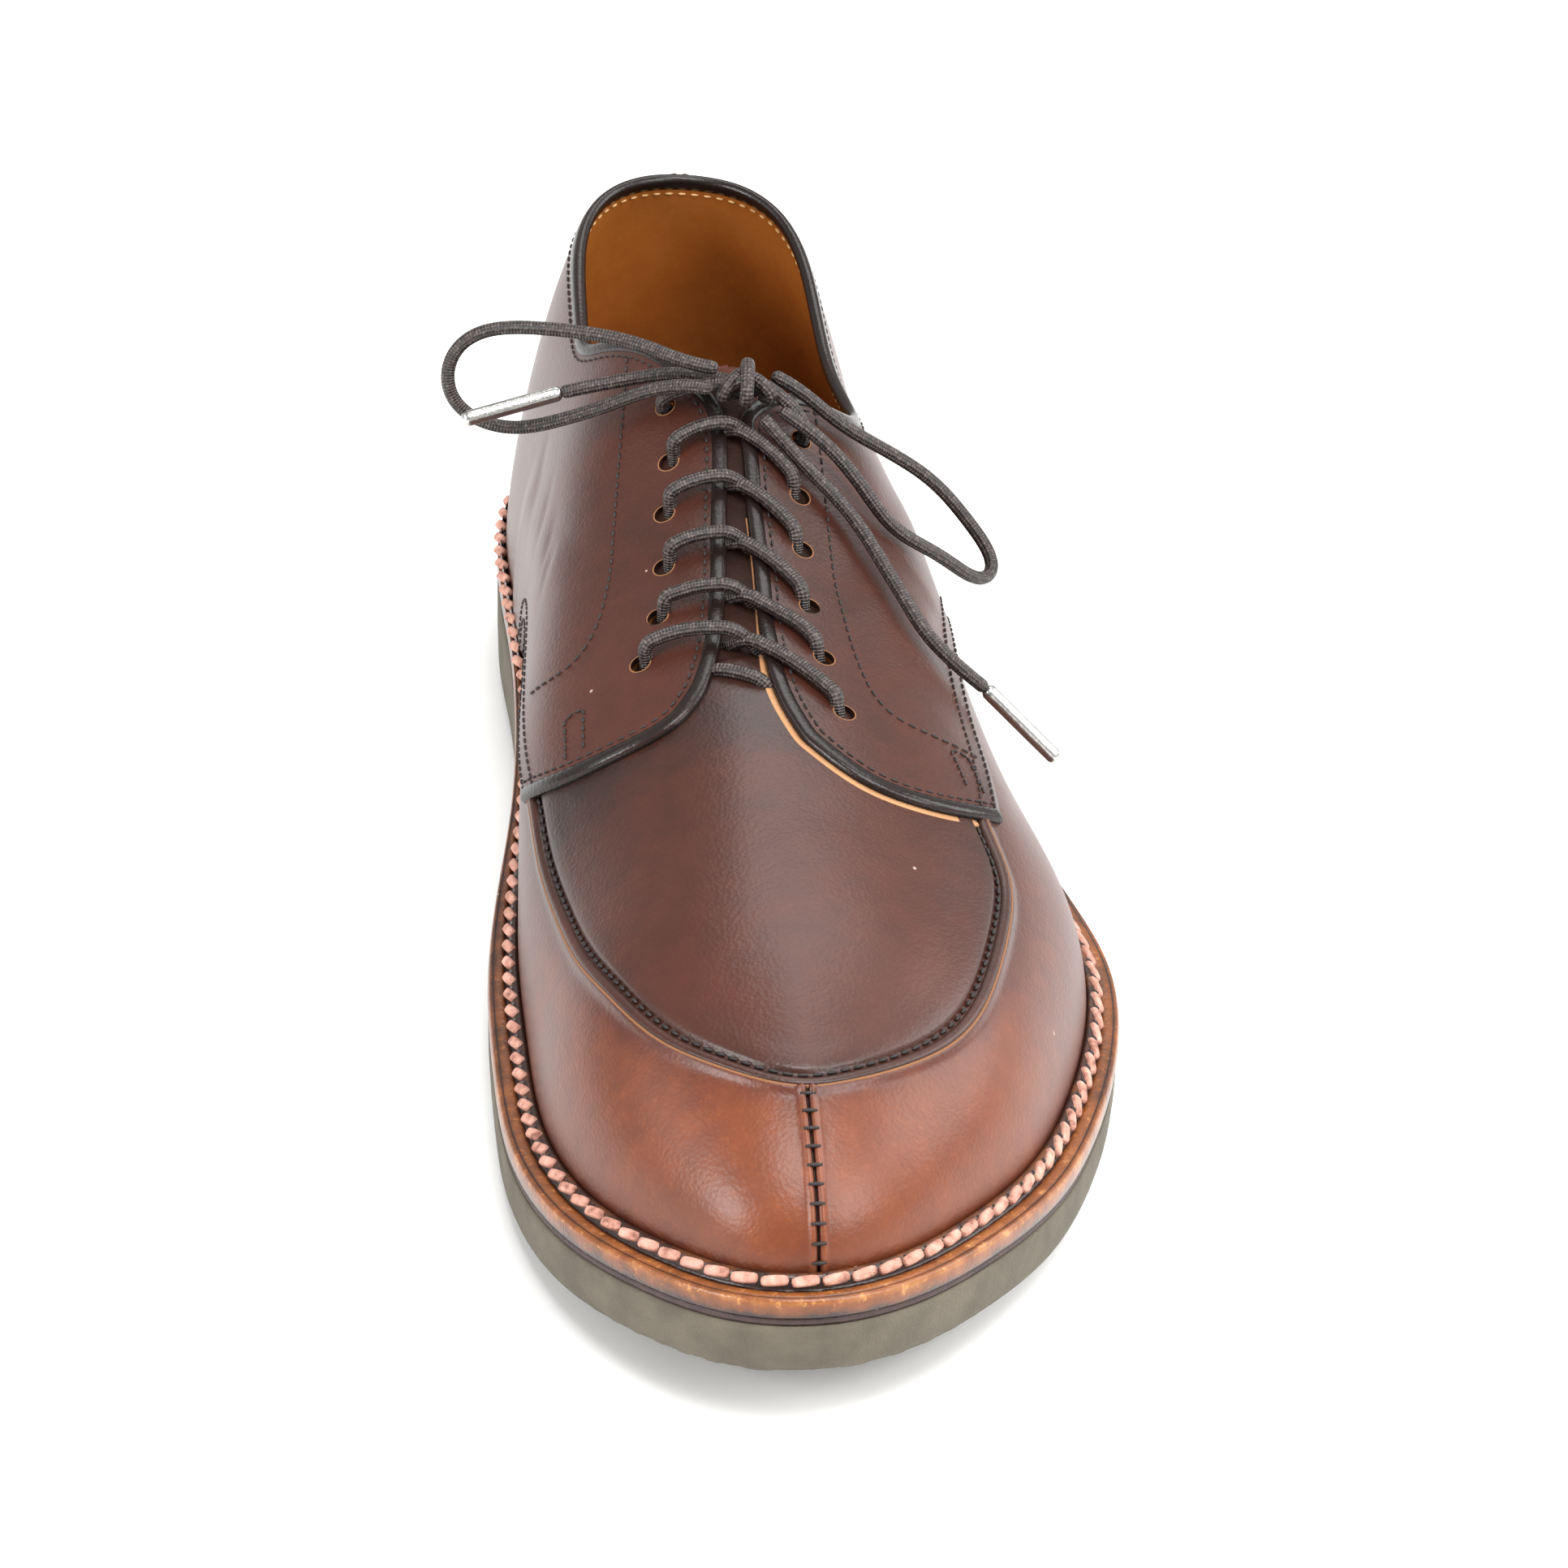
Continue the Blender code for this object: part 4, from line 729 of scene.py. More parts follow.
camera_data = bpy.data.cameras.new("camera")
camera_data.lens = LENS
camera_data.sensor_width = 36.0
camera_data.clip_start = 0.05
camera = bpy.data.objects.new("camera", camera_data)
camera.location = STANDPOINT
turn = PHOTO_VIEW.rotation_difference(LOOK_AT - STANDPOINT)
camera.rotation_euler = (turn @ PHOTO_VIEW.to_track_quat("-Z", "Y")).to_euler()
bpy.context.scene.collection.objects.link(camera)
bpy.context.scene.camera = camera
print("camera at", [round(x, 3) for x in camera.location])

# %% [markdown]
# ## The bow
# A free lace is a cord of fixed length, so its route comes first. The two loops and the two
# ends leave the knot at the top of the facings, arch over the quarters and carry metal tips.

# %% Routes of loops and ends, in millimetres
LOOP_MEDIAL = [(-7.0, 42.4, 98.2), (-12.0, 44.2, 98.4), (-18.2, 49.0, 99.2), (-24.5, 53.0, 99.7),
               (-33.5, 57.0, 99.6), (-44.2, 59.0, 99.8), (-51.7, 60.0, 98.0), (-55.9, 60.0, 93.0),
               (-56.5, 59.0, 87.9), (-54.5, 58.0, 83.6), (-50.3, 57.0, 81.1), (-44.4, 56.0, 79.8),
               (-36.1, 54.5, 82.0), (-28.0, 50.5, 86.6), (-20.4, 44.9, 92.7), (-16.5, 41.0, 95.6),
               (-12.6, 38.8, 97.0), (-8.6, 37.4, 96.6)]
END_MEDIAL = [(-4.6, 43.2, 95.2), (-7.6, 45.4, 94.8), (-11.0, 47.2, 94.8), (-16.7, 50.2, 93.6), (-21.2, 52.0, 91.9),
              (-25.7, 53.0, 90.6), (-30.6, 53.8, 89.4), (-35.4, 54.0, 88.2)]
AGLET_MEDIAL = [(-35.8, 54.0, 88.1), (-53.6, 50.2, 85.2)]
LOOP_LATERAL = [(3.0, 42.4, 96.6), (7.6, 43.6, 93.4), (13.5, 43.6, 87.8), (18.8, 44.8, 83.0), (23.2, 46.2, 79.6),
                (27.5, 47.0, 76.5), (35.4, 46.0, 70.9), (41.3, 44.0, 64.1), (45.5, 41.0, 58.9), (46.9, 38.6, 55.6),
                (44.6, 35.6, 54.9), (38.2, 32.4, 59.8), (30.5, 29.5, 66.6), (23.2, 27.7, 72.9), (19.3, 29.8, 78.6),
                (14.5, 32.8, 84.2), (10.1, 33.9, 88.6), (6.9, 35.2, 90.6), (3.9, 36.9, 92.2)]
END_LATERAL = [(0.2, 35.9, 91.6), (2.8, 33.8, 89.2), (5.4, 31.4, 86.8), (8.1, 28.5, 84.3), (14.3, 23.8, 79.1),
               (18.5, 18.2, 74.5), (20.4, 13.6, 72.2), (22.4, 9.4, 69.9), (24.4, 5.4, 67.5), (26.3, 1.0, 64.9),
               (28.7, -0.6, 62.4), (31.6, -1.2, 59.5), (38.5, -1.0, 52.9)]
AGLET_LATERAL = [(38.9, -1.1, 52.5), (49.8, -4.2, 41.6)]
KNOT_CENTRE = np.array((-2.2, 40.5, 96.0)) * MM


def ease_run(run, times):
    """Round the bends of a run of points or directions; its ends stay."""
    for _ in range(times):
        run[1:-1] = (run[:-2] + 2 * run[1:-1] + run[2:]) / 4
    return run


def smooth_run(route, step=0.0006, ease=0):
    """Fine even points of a smooth curve through a route in metres; ease rounds its bends."""
    points = np.asarray(route, float)
    curve = spline(chord_knots(points), points)
    return ease_run(resample(curve(np.linspace(0.0, 1.0, 600)), step), ease)


# %% Loops, ends and metal tips
AGLET_LENGTH = 0.019
AGLET = 0.0030
CORD_SIZE = LACE
BOW_EASE = 70


def tip(name, ends):
    """Metal tip: a plain tube with rounded ends that starts inside the end of the lace."""
    start, towards = np.array(ends[0]) * MM, np.subtract(ends[1], ends[0])
    towards = towards / np.linalg.norm(towards)
    line = start + towards * np.linspace(-0.001, AGLET_LENGTH, 90)[:, None]
    made = cord("tip_" + name, line, AGLET, TIP_METAL, sides=24)
    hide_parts("aglet_" + name)
    return made


tips = {"medial": tip("medial", AGLET_MEDIAL), "lateral": tip("lateral", AGLET_LATERAL)}
for side, loop, end in (("medial", LOOP_MEDIAL, END_MEDIAL), ("lateral", LOOP_LATERAL, END_LATERAL)):
    for kind, route in (("loop", loop), ("end", end)):
        run = smooth_run(np.array(route) * MM, ease=BOW_EASE)
        name = "bow_%s_%s" % (kind, side)
        made = cord(name, run, CORD_SIZE, LACE_BROWN)
        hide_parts("lace_%s_%s" % (kind, side))
        [tuple(p) for p in run[::6]] + [tuple(run[-1])]

# %% [markdown]
# ## The knot
# The two loops and two ends meet in a bow knot. The real one is the lace itself wound round
# the middle, so a few short turns of the same cord are laid round the knot's centre.

# %% Wind the knot


def ring_round(centre, half_width, half_height, lean):
    """Closed turn of lace in a leaning plane across the knot."""
    angle = np.linspace(-0.45 * np.pi, 1.45 * np.pi, 60)
    flat = np.column_stack([np.cos(angle) * half_width * np.sin(lean), np.cos(angle) * half_width * np.cos(lean),
                            np.sin(angle) * half_height])
    turn = Matrix.Rotation(0.45, 3, "X")
    return np.array([np.array(turn @ Vector(p)) for p in flat]) + centre


# Shift from the knot's centre, half width and half height in mm, lean in radians
KNOT_TURNS = (((0.2, 0.0, 0.0), 3.9, 2.9, 0.12), ((-2.3, 0.6, -0.6), 3.0, 1.7, 0.75),
              ((2.3, -0.3, -0.7), 3.0, 1.7, -0.80), ((0.0, 0.4, -0.9), 2.7, 2.0, 1.45))
for number, (shift, width, height, lean) in enumerate(KNOT_TURNS):
    run = ring_round(KNOT_CENTRE + np.array(shift) * MM, width * MM, height * MM, lean)
    made = cord("knot_turn_%d" % number, resample(run, 0.0006), LACE, LACE_BROWN)
    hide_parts("lace_knot")

# %% [markdown]
# ## The vamp
# The vamp is two leathers: the apron on top and the wall round it, sewn by a raised seam.
# The wall is split at the toe by a short seam with cross stitches. Both are sheets on the
# last, and the lips of the seams are part of their relief.

# %% Relief of the leather
# Soft creases as lines between two places on the shoe, in millimetres: depth and width follow
CREASES = [
    ((25, 13, 70), (38, -4, 56), -0.95, 1.9),
    ((24, 18, 71), (36, 4, 60), 0.55, 2.2),
    ((30, 22, 66), (40, 10, 52), -0.30, 2.4),
    ((-38, 60, 74), (-39, 34, 56), -0.30, 1.1),
    ((-37, 70, 74), (-39, 46, 52), -0.26, 1.2),
    ((-38, 52, 72), (-40, 24, 54), -0.26, 1.0),
    ((-36, 82, 70), (-38, 62, 50), -0.22, 1.6),
    ((-30, -52, 62), (26, -62, 62), -0.18, 5.0),
    ((-34, -66, 55), (30, -76, 54), -0.14, 4.0),
    ((38, 88, 62), (40, 70, 44), -0.30, 3.0),
    ((36, 104, 66), (39, 88, 46), -0.24, 3.0),
]


def crease_depth(points):
    """Height of the soft creases at points."""
    depth = np.zeros(len(points))
    for start, end, height, width in CREASES:
        a, b = np.array(start) * MM, np.array(end) * MM
        share = np.clip((points - a) @ (b - a) / ((b - a) @ (b - a)), 0, 1)
        near = np.linalg.norm(points - a - share[:, None] * (b - a), axis=1)
        depth += height * MM * bell(near / (width * MM * 1.6)) * (1 - smooth_step(np.abs(share - 0.5) * 2 - 0.2))
    return depth


def seam_distance(u, t):
    """Distance up the wall from a point to the apron seam."""
    speed = np.linalg.norm(last(u, np.minimum(t + 0.01, 1.0)) - last(u, t - 0.01), axis=-1) / 0.02
    return (t - seam_share(u)) * speed


def toe_distance(u, t):
    """Distance along the loop from a point to the toe seam."""
    speed = np.linalg.norm(last(u + 0.002, t) - last(u - 0.002, t), axis=-1) / 0.004
    return (u - TOE) * speed


# %% Wall of the vamp
NEAR_TOE = 0.0045
VAMP_LEATHER = 0.0012
wall_columns = np.concatenate([np.linspace(vamp_back_outer, TOE - NEAR_TOE, 270)[:-1],
                               np.linspace(TOE - NEAR_TOE, TOE + NEAR_TOE, 61),
                               np.linspace(TOE + NEAR_TOE, vamp_back_inner, 270)[1:]])
wall_rows = np.concatenate([np.linspace(0.0, 0.90, 44)[:-1], np.linspace(0.90, 1.0, 22)])


def wall_top(u):
    """Rib share where the wall ends: at the apron seam, and under the quarters behind it."""
    behind = smooth_step((seam_start + 0.03 - u) / 0.03) + smooth_step((u - seam_end + 0.03) / 0.03)
    hidden = np.minimum(seam_share(u) * 1.30, vamp_top(u) * 0.97)
    return seam_share(u) * (1 - behind) + hidden * behind


def creased(u, t, points):
    """Points moved by the soft creases."""
    return points + outward(u, t) * crease_depth(points)[:, None]


def wall_place(u, b):
    """Point of the vamp's wall, with the lips and the groove of its seams."""
    t = b * wall_top(u)
    in_front = smooth_step((u - seam_start) / 0.01) * smooth_step((seam_end - u) / 0.01)
    lip = bell((toe_distance(u, t) - 0.0008) / 0.0006) + bell((toe_distance(u, t) + 0.0008) / 0.0006)
    groove = bell(toe_distance(u, t) / 0.00020)
    rise = bell((seam_distance(u, t) + 0.0003) / 0.0011) * in_front
    height = VAMP_WALL + 0.0005 * lip - 0.0006 * groove + 0.0007 * rise
    return creased(u, t, off_last(u, t, height))


def wall_tone_and_shade(u, b, points):
    """Burnished lighter toe and lighter lips at the toe seam; painted shade below the apron seam, in the toe seam's
    groove and above the welt.
    """
    t = b * wall_top(u)
    front = bell((u - TOE) / 0.16)
    shade = 0.34 + 0.42 * front
    # painted shade below the raised apron seam
    shade -= 0.30 * bell(seam_distance(u, t) / 0.0035) * (1 - 0.4 * front)
    # painted shade where the wall meets the welt
    shade -= 0.38 * bell(b / 0.10)
    shade += 0.16 * bell((np.abs(toe_distance(u, t)) - 0.0009) / 0.0005)
    # painted shade in the groove of the toe seam
    shade -= 0.80 * bell(toe_distance(u, t) / 0.00020) + 0.10 * bell(toe_distance(u, t) / 0.004)
    return shade


vamp_wall = sheet("vamp_wall", wall_columns, wall_rows, wall_place, UPPER_BROWN, flip=True, tone=wall_tone_and_shade)
thicken(vamp_wall, VAMP_LEATHER)

# %% Apron
apron_columns = np.concatenate([np.linspace(throat_outer, TOE - 0.06, 90)[:-1], np.linspace(TOE - 0.06, TOE, 110)])
apron_half = np.concatenate([np.linspace(0.0, 0.16, 24)[:-1], np.linspace(0.16, 1.0, 50)])
apron_rows = np.concatenate([apron_half - 1.0, 1.0 - apron_half[::-1][1:]])


def apron_shares(a, b):
    """Loop and rib shares of the apron: outer side for b below zero, inner side above it."""
    near_front = smooth_step((a - TOE + 0.05) / 0.04)
    paired = ridge_partner(rib_traits(a)[..., 3], inner_side=True)
    inner_u = paired + (2 * TOE - a - paired) * near_front
    u = np.where(b <= 0, a, inner_u)
    seam = seam_share(u)
    return u, seam + (1.0 - seam) * (1.0 - np.abs(b))


def apron_place(a, b):
    """Point of the apron, pressed down beside its seam."""
    u, t = apron_shares(a, b)
    near = np.abs(seam_distance(u, t))
    height = VAMP_WALL - 0.0006 * bell((near - 0.0026) / 0.0007) + 0.0002 * bell((near - 0.005) / 0.003)
    return creased(u, t, off_last(u, t, height))


def apron_tone_and_shade(a, b, points):
    """Dark apron, a little lighter towards the toe; painted shade in the dip beside its seam and under the facings.
    """
    u, t = apron_shares(a, b)
    shade = 0.25 + 0.10 * smooth_step((-points[:, 1] - 0.05) / 0.05)
    # painted shade in the dip beside the raised seam
    shade -= 0.22 * bell(seam_distance(u, t) / 0.0045)
    # painted shade under the facings
    return shade - 0.18 * smooth_step((points[:, 1] + 0.050) / 0.02)


apron = sheet("apron", apron_columns, apron_rows, apron_place, UPPER_BROWN, flip=True, tone=apron_tone_and_shade)
# The rows that meet at the toe are merged
TOE_WELD = 1e-5
work = bmesh.new()
work.from_mesh(apron.data)
bmesh.ops.remove_doubles(work, verts=work.verts, dist=TOE_WELD)
work.to_mesh(apron.data)
work.free()
thicken(apron, VAMP_LEATHER)

# %% Raised seam of the apron
seam_u = np.linspace(seam_start, seam_end, 900)
seam_t = seam_share(seam_u)
seam_line, seam_up = off_last(seam_u, seam_t, np.full(len(seam_u), VAMP_WALL)), outward(seam_u, seam_t)
seam_line, seam_up = resample(seam_line, 0.0005, seam_up)
_, across, _ = path_frames(seam_line, seam_up)
TO_APRON = float(np.sign(across[len(across) // 2] @ np.array([0.0, 1.0, 0.3])))
# Across towards the apron and up, in mm
BAND_PROFILE = ((2.0, -0.7), (1.8, 0.05), (1.45, 0.55), (0.95, 0.84), (0.4, 0.86), (0.0, 0.70))
EDGE_PROFILE = ((0.15, 0.2), (0.05, 0.72), (-0.20, 0.80), (-0.42, 0.66), (-0.52, 0.35), (-0.60, -0.3))


def band_tone(a, b, points):
    """Wax rubbed thin on the crown of the band."""
    return 0.10 + 0.12 * bell((b - 3) / 1.2)


def raw_edge_tone(a, b, points):
    """Tan only at the front and outer part of the seam, darker elsewhere."""
    return -0.35 + 0.75 * bell((points[:, 1] + 0.14) / 0.03) * smooth_step(points[:, 0] / 0.04 + 0.8)


for name, profile, finish, tone in (("apron_band", BAND_PROFILE, UPPER_BROWN, band_tone),
                                    ("apron_raw_edge", EDGE_PROFILE, RAW_EDGE, raw_edge_tone)):
    made = strip(name, seam_line, seam_up, np.array(profile) * MM * (TO_APRON, 1.0), finish, tone)
    thicken(made, 0.0004)

# %% Stitches of the apron and of the toe
STITCH_INSET = 0.0024
thread("apron_stitches", "apron", seam_line + across * TO_APRON * STITCH_INSET + seam_up * -0.00020, seam_up)
toe_t = np.linspace(0.16, 0.97, 40) * float(seam_share(TOE))
toe_u = np.full(len(toe_t), TOE)
toe_line = off_last(toe_u, toe_t, np.full(len(toe_t), VAMP_WALL + 0.00060))
thread("toe_cross_stitches", "toe", toe_line, outward(toe_u, toe_t), turn=crossways)

# %% [markdown]
# ## The quarters
# The two quarters meet at the heel and carry the facings. They are cut from one sheet here,
# column by column from the outer corner round the heel to the inner corner, and lap over
# the vamp. Their edges are bound, so a rolled strip follows the whole rim.

# %% Net of the quarters
low, high = snap(QUARTER_COLUMNS[:, :3]), snap(QUARTER_COLUMNS[:, 3:])
on_feather = QUARTER_COLUMNS[:, 2] == 0.0
low[on_feather, 1] = 0.0
for uv in (low, high):
    uv[uv[:, 0] > TOE, 0] -= 1.0
quarter_knots = chord_knots(last(*low.T) + last(*high.T))
low_curve, high_curve = spline(quarter_knots, low), spline(quarter_knots, high)


def front_curve(rows):
    """Front edge of a facing as a curve of shares."""
    uv = snap(rows)
    uv[uv[:, 0] > TOE, 0] -= 1.0
    return spline(chord_knots(last(*uv.T)), uv)


front_outer, front_inner = front_curve(FRONT_OUTER), front_curve(FRONT_INNER)


def quarter_shares(where, b):
    """Loop and rib shares of the quarters at a column and a share of its height."""
    start, end = low_curve(where), high_curve(where)
    start[:, 1] = np.maximum(start[:, 1], 0.0)
    flat = np.interp(where, quarter_knots, on_feather.astype(float)) > 0.999
    start[flat, 1] = 0.0
    uv = start + (end - start) * b[:, None]
    for front, corner, reach in ((front_outer, 0, where / quarter_knots[4]),
                                 (front_inner, -1, (1.0 - where) / (1.0 - quarter_knots[-5]))):
        bow = front(b) - (low[corner] + (high[corner] - low[corner]) * b[:, None])
        uv = uv + (1.0 - smooth_step(reach))[:, None] * bow
    return uv[:, 0], np.clip(uv[:, 1], 0.0, 0.999)


BACK_SEAM = 0.0


def on_heel(where):
    """Whether a column lies at the back of the heel."""
    return np.abs(low_curve(where)[:, 0] - BACK_SEAM) < 0.03


BACK_COLUMN = np.interp(BACK_SEAM, -low_curve(np.linspace(0.3, 0.7, 400))[:, 0], np.linspace(0.3, 0.7, 400))
quarter_columns = np.unique(np.concatenate([np.linspace(0.0, 1.0, 500),
                                            BACK_COLUMN + np.linspace(-0.012, 0.012, 31)]))
column_height = np.interp(quarter_columns, quarter_knots,
                          np.linalg.norm(last(*low.T) - last(*high.T), axis=1))


def quarter_height(where):
    """Height of the quarters at a column, along the leather."""
    return np.interp(where, quarter_columns, column_height)


def quarter_place(where, b):
    """Point of the quarters, with a rolled lower edge and the seam at the heel."""
    u, t = quarter_shares(where, b)
    rolled = np.where(t > 0.01, bell(b * quarter_height(where) / 0.0007), 0.0)
    from_back = np.where(on_heel(where), (u - BACK_SEAM) * LOOP_LENGTH, 1.0)
    back = 0.0005 * bell(from_back / 0.0005) - 0.0003 * bell((np.abs(from_back) - 0.0011) / 0.0006)
    return creased(u, t, off_last(u, t, lap_lift(u, t) + QUARTER_WALL - 0.0004 * rolled - back))


def quarter_painted_shade(where, b, points):
    """Painted shade on the facings under the laces, along the top edge under the binding and along the lower edge;
    lighter between them.
    """
    tall = quarter_height(where)
    facing = smooth_step((points[:, 1] * -1 + 0.075) / 0.05) * smooth_step((points[:, 2] - 0.058) / 0.016)
    # painted shade on the facings under the laces and under the binding at the top edge
    shade = 0.33 - 0.10 * facing - 0.10 * bell((1 - b) * tall / 0.006)
    # painted shade along the lower edge
    return shade - 0.16 * bell(b * tall / 0.005)


def face_outwards(made):
    """Turn a sheet's faces outwards, judged by the one in the middle of its list."""
    middle = made.data.polygons[len(made.data.polygons) // 2]
    u, t = snap_points(np.array(middle.center))[0]
    if np.dot(np.array(middle.normal), outward(u, t)) < 0:
        made.data.flip_normals()


quarters = sheet("quarters", quarter_columns, np.linspace(0.0, 1.0, 80), quarter_place, UPPER_BROWN,
                 tone=quarter_painted_shade)
face_outwards(quarters)
thicken(quarters, 0.0011)
print("quarters round the heel:", round(column_height.mean() * 1000), "mm tall on average")

# %% Lining behind the quarters
LINING_OUTSIDE = 0.00065


def lining_place(where, b):
    """Point of the lining, inside the quarters' leather."""
    u, t = quarter_shares(where, b)
    return off_last(u, t, lap_lift(u, t) + LINING_OUTSIDE)


def lining_painted_shade(where, b, points):
    """Painted shade: darker deeper inside the shoe, lighter towards the collar."""
    return 0.30 + 0.35 * smooth_step((points[:, 2] - 0.045) / 0.04)


lining = sheet("quarter_lining", quarter_columns[::2], np.linspace(0.0, 0.992, 40), lining_place, LINING_TAN,
               tone=lining_painted_shade)
face_outwards(lining)
thicken(lining, 0.0006)

# %% [markdown]
# ## Eyelets, bound edges and stitch rows
# The eyelets are punched holes without metal, so their cut leather shows as thin tan rings.
# The edges of facings and collar are bound by a rolled dark strip with a row of stitches
# beside it. All of these follow the quarters' own shares, as strips and rows along lines.

# %% Eyelets punched through facings and lining
eyelet_uv = np.concatenate([snap(EYELETS_OUTER), snap(EYELETS_INNER)])
eyelet_up = outward(*eyelet_uv.T)
eyelet_at = over_quarter(*eyelet_uv.T)
HOLE = 0.0040


def facing_place(k):
    """Matrix that stands on eyelet k."""
    turn = Vector(eyelet_up[k]).to_track_quat("Z", "Y").to_matrix().to_4x4()
    return Matrix.Translation(Vector(eyelet_at[k])) @ turn


work = bmesh.new()
for k in range(len(eyelet_at)):
    bmesh.ops.create_cone(work, cap_ends=True, segments=24, radius1=HOLE / 2, radius2=HOLE / 2, depth=0.012,
                          matrix=facing_place(k))
punch_mesh = bpy.data.meshes.new("eyelet_punch")
work.to_mesh(punch_mesh)
work.free()
punch = bpy.data.objects.new("eyelet_punch", punch_mesh)
bpy.context.scene.collection.objects.link(punch)
for made in (quarters, lining):
    cut = made.modifiers.new("eyelets", "BOOLEAN")
    cut.operation = "DIFFERENCE"
    cut.object = punch
    graph = bpy.context.evaluated_depsgraph_get()
    fresh = bpy.data.meshes.new_from_object(made.evaluated_get(graph))
    made.modifiers.clear()
    made.data = fresh
    made.data.shade_smooth()
    made.data.set_sharp_from_angle(angle=np.radians(50))
bpy.data.objects.remove(punch, do_unlink=True)
print("quarters after punching", len(quarters.data.polygons), "faces")

# %% Raw rims of the eyelets
work = bmesh.new()
for k in range(len(eyelet_at)):
    ring = bmesh.ops.create_circle(work, segments=28, radius=HOLE / 2 - 0.00005, matrix=facing_place(k))["verts"]
    edges = list({e for v in ring for e in v.link_edges})
    up = Vector(eyelet_up[k])
    # The ring grows out, rounds over, and then runs down into the hole
    for grow, rise in ((0.00014, 0.00008), (0.00012, -0.00010), (-0.00022, -0.0016)):
        grown = bmesh.ops.extrude_edge_only(work, edges=edges)["geom"]
        edges = [g for g in grown if isinstance(g, bmesh.types.BMEdge)]
        verts = [g for g in grown if isinstance(g, bmesh.types.BMVert)]
        for vert in verts:
            away = vert.co - Vector(eyelet_at[k])
            away -= up * away.dot(up)
            vert.co += away.normalized() * grow + up * rise
bmesh.ops.recalc_face_normals(work, faces=work.faces)
finish_mesh(work, "eyelet_rims", RAW_EDGE)

# %% Bound edge of facings and collar
rim = np.concatenate([np.column_stack([np.zeros(60), np.linspace(0.0, 1.0, 60)])[:-1],
                      np.column_stack([np.linspace(0.0, 1.0, 700), np.ones(700)]),
                      np.column_stack([np.ones(60), np.linspace(1.0, 0.0, 60)])[1:]])
rim_shares = quarter_shares(rim[:, 0], rim[:, 1])
rim_line, rim_up = resample(over_quarter(*rim_shares), 0.0007, outward(*rim_shares))
rim_line, rim_up = ease_run(rim_line, 4), ease_run(rim_up, 4)
_, rim_across, _ = path_frames(rim_line, rim_up)
heel = int(np.argmax(rim_line[:, 1]))
INTO_PANEL = float(np.sign(rim_across[heel] @ np.array([0.0, 0.1, -1.0])))
# Across into the panel and up, in mm
BINDING_PROFILE = ((2.7, -0.15), (2.5, 0.20), (1.9, 0.34), (1.0, 0.38), (0.3, 0.25), (-0.12, -0.15),
                   (-0.25, -0.8), (-0.15, -1.5), (0.2, -1.95), (0.9, -2.1), (1.4, -2.05))
EDGE_WALL = 0.0002
at_collar = smooth_step((rim_line[:, 1] - 0.10) / 0.035)


def even_tone(a, b, points):
    """The same tone everywhere."""
    return np.full(len(points), 0.5)


binding = strip("binding", rim_line, rim_up, np.array(BINDING_PROFILE) * MM * (INTO_PANEL, 1.0), BINDING_BROWN,
                even_tone, wide=1.0 + 0.7 * at_collar)
thicken(binding, EDGE_WALL)
print("bound edge", round(travel(rim_line)[-1] * 1000), "mm")

# %% Raw lining edge below the facings' fronts
# It shows most under the outer front curve, and only as a thin line in the gap
LOW_PROFILE = ((0.4, -1.0), (-0.7, -1.0), (-0.95, -1.35), (-0.75, -1.8), (0.4, -1.9))
span = slice(10, int(len(rim_line) * 0.21))


def front_share(points):
    """Share of the way from the laces' gap, 0, to the outer front curve, 1."""
    return smooth_step((-0.010 - points[:, 1]) / 0.014)


def low_tone_and_shade(a, b, points):
    """Lightest at the outer front curve, with painted shade towards the laces' gap."""
    return 0.20 + 0.45 * front_share(points)


shift = rim_across[span] * INTO_PANEL * (0.9 * front_share(rim_line[span])[:, None] - 0.25) * MM
facing_edge = strip("facing_raw_edge", rim_line[span] - shift, rim_up[span],
                    np.array(LOW_PROFILE) * MM * (INTO_PANEL, 1.0), RAW_EDGE, low_tone_and_shade)
thicken(facing_edge, EDGE_WALL)

# %% Stitches along the binding
inset = rim_across * INTO_PANEL
beside = 0.0037 + 0.0020 * at_collar
thread("binding_stitches", "binding", rim_line + inset * beside[:, None] + rim_up * 0.00005, rim_up)
collar = slice(int(len(rim_line) * 0.28), int(len(rim_line) * 0.72))
thread("lining_stitches", "lining", rim_line[collar] + inset[collar] * 0.0036 - rim_up[collar] * 0.0021,
       rim_up[collar], LINING_THREAD)

# %% Stitches of the arch and of the eyestay
EYESTAY_OUTER = np.array([(18.8, 48.8, 88.2), (18.3, 23.8, 79.3), (17.7, 1.3, 73.1), (19.0, -15.9, 68.8),
                          (22.8, -26.5, 65.5), (39.0, -26.1, 55.0)]) * MM
EYESTAY_INNER = np.array([(-16.7, 64.5, 90.1), (-20.0, 42.6, 81.2), (-23.9, 15.8, 71.2), (-25.8, 6.6, 67.9),
                          (-31.2, -0.9, 62.1), (-38.7, 4.6, 52.6)]) * MM
BAR_TACKS = np.array([(36.5, -33.5, 57.0), (-33.0, -18.5, 57.5)]) * MM


STITCH_LIFT = 0.00008
for name, points in (("outer", EYESTAY_OUTER), ("inner", EYESTAY_INNER)):
    uv = snap_points(points - (CENTRE[0], CENTRE[1], 0.0))
    curve = spline(chord_knots(last(*uv.T)), uv)
    u, t = np.moveaxis(curve(np.linspace(0, 1, 300)), -1, 0)
    thread("eyestay_stitches_" + name, "eyestay", over_quarter(u, t, STITCH_LIFT), outward(u, t))
arch_ends = ((0.0, quarter_knots[11]), (quarter_knots[21], 1.0))
for side, (first, final) in zip(("outer", "inner"), arch_ends):
    where = np.linspace(first + 0.004, final - 0.004, 500)
    for number, inset_width in enumerate((0.0018, 0.0052)):
        u, t = quarter_shares(where, inset_width / quarter_height(where))
        keep = t > 0.02
        line = over_quarter(u, t, STITCH_LIFT)[keep]
        thread("arch_stitches_%s_%d" % (side, number), "arch", line, outward(u, t)[keep])

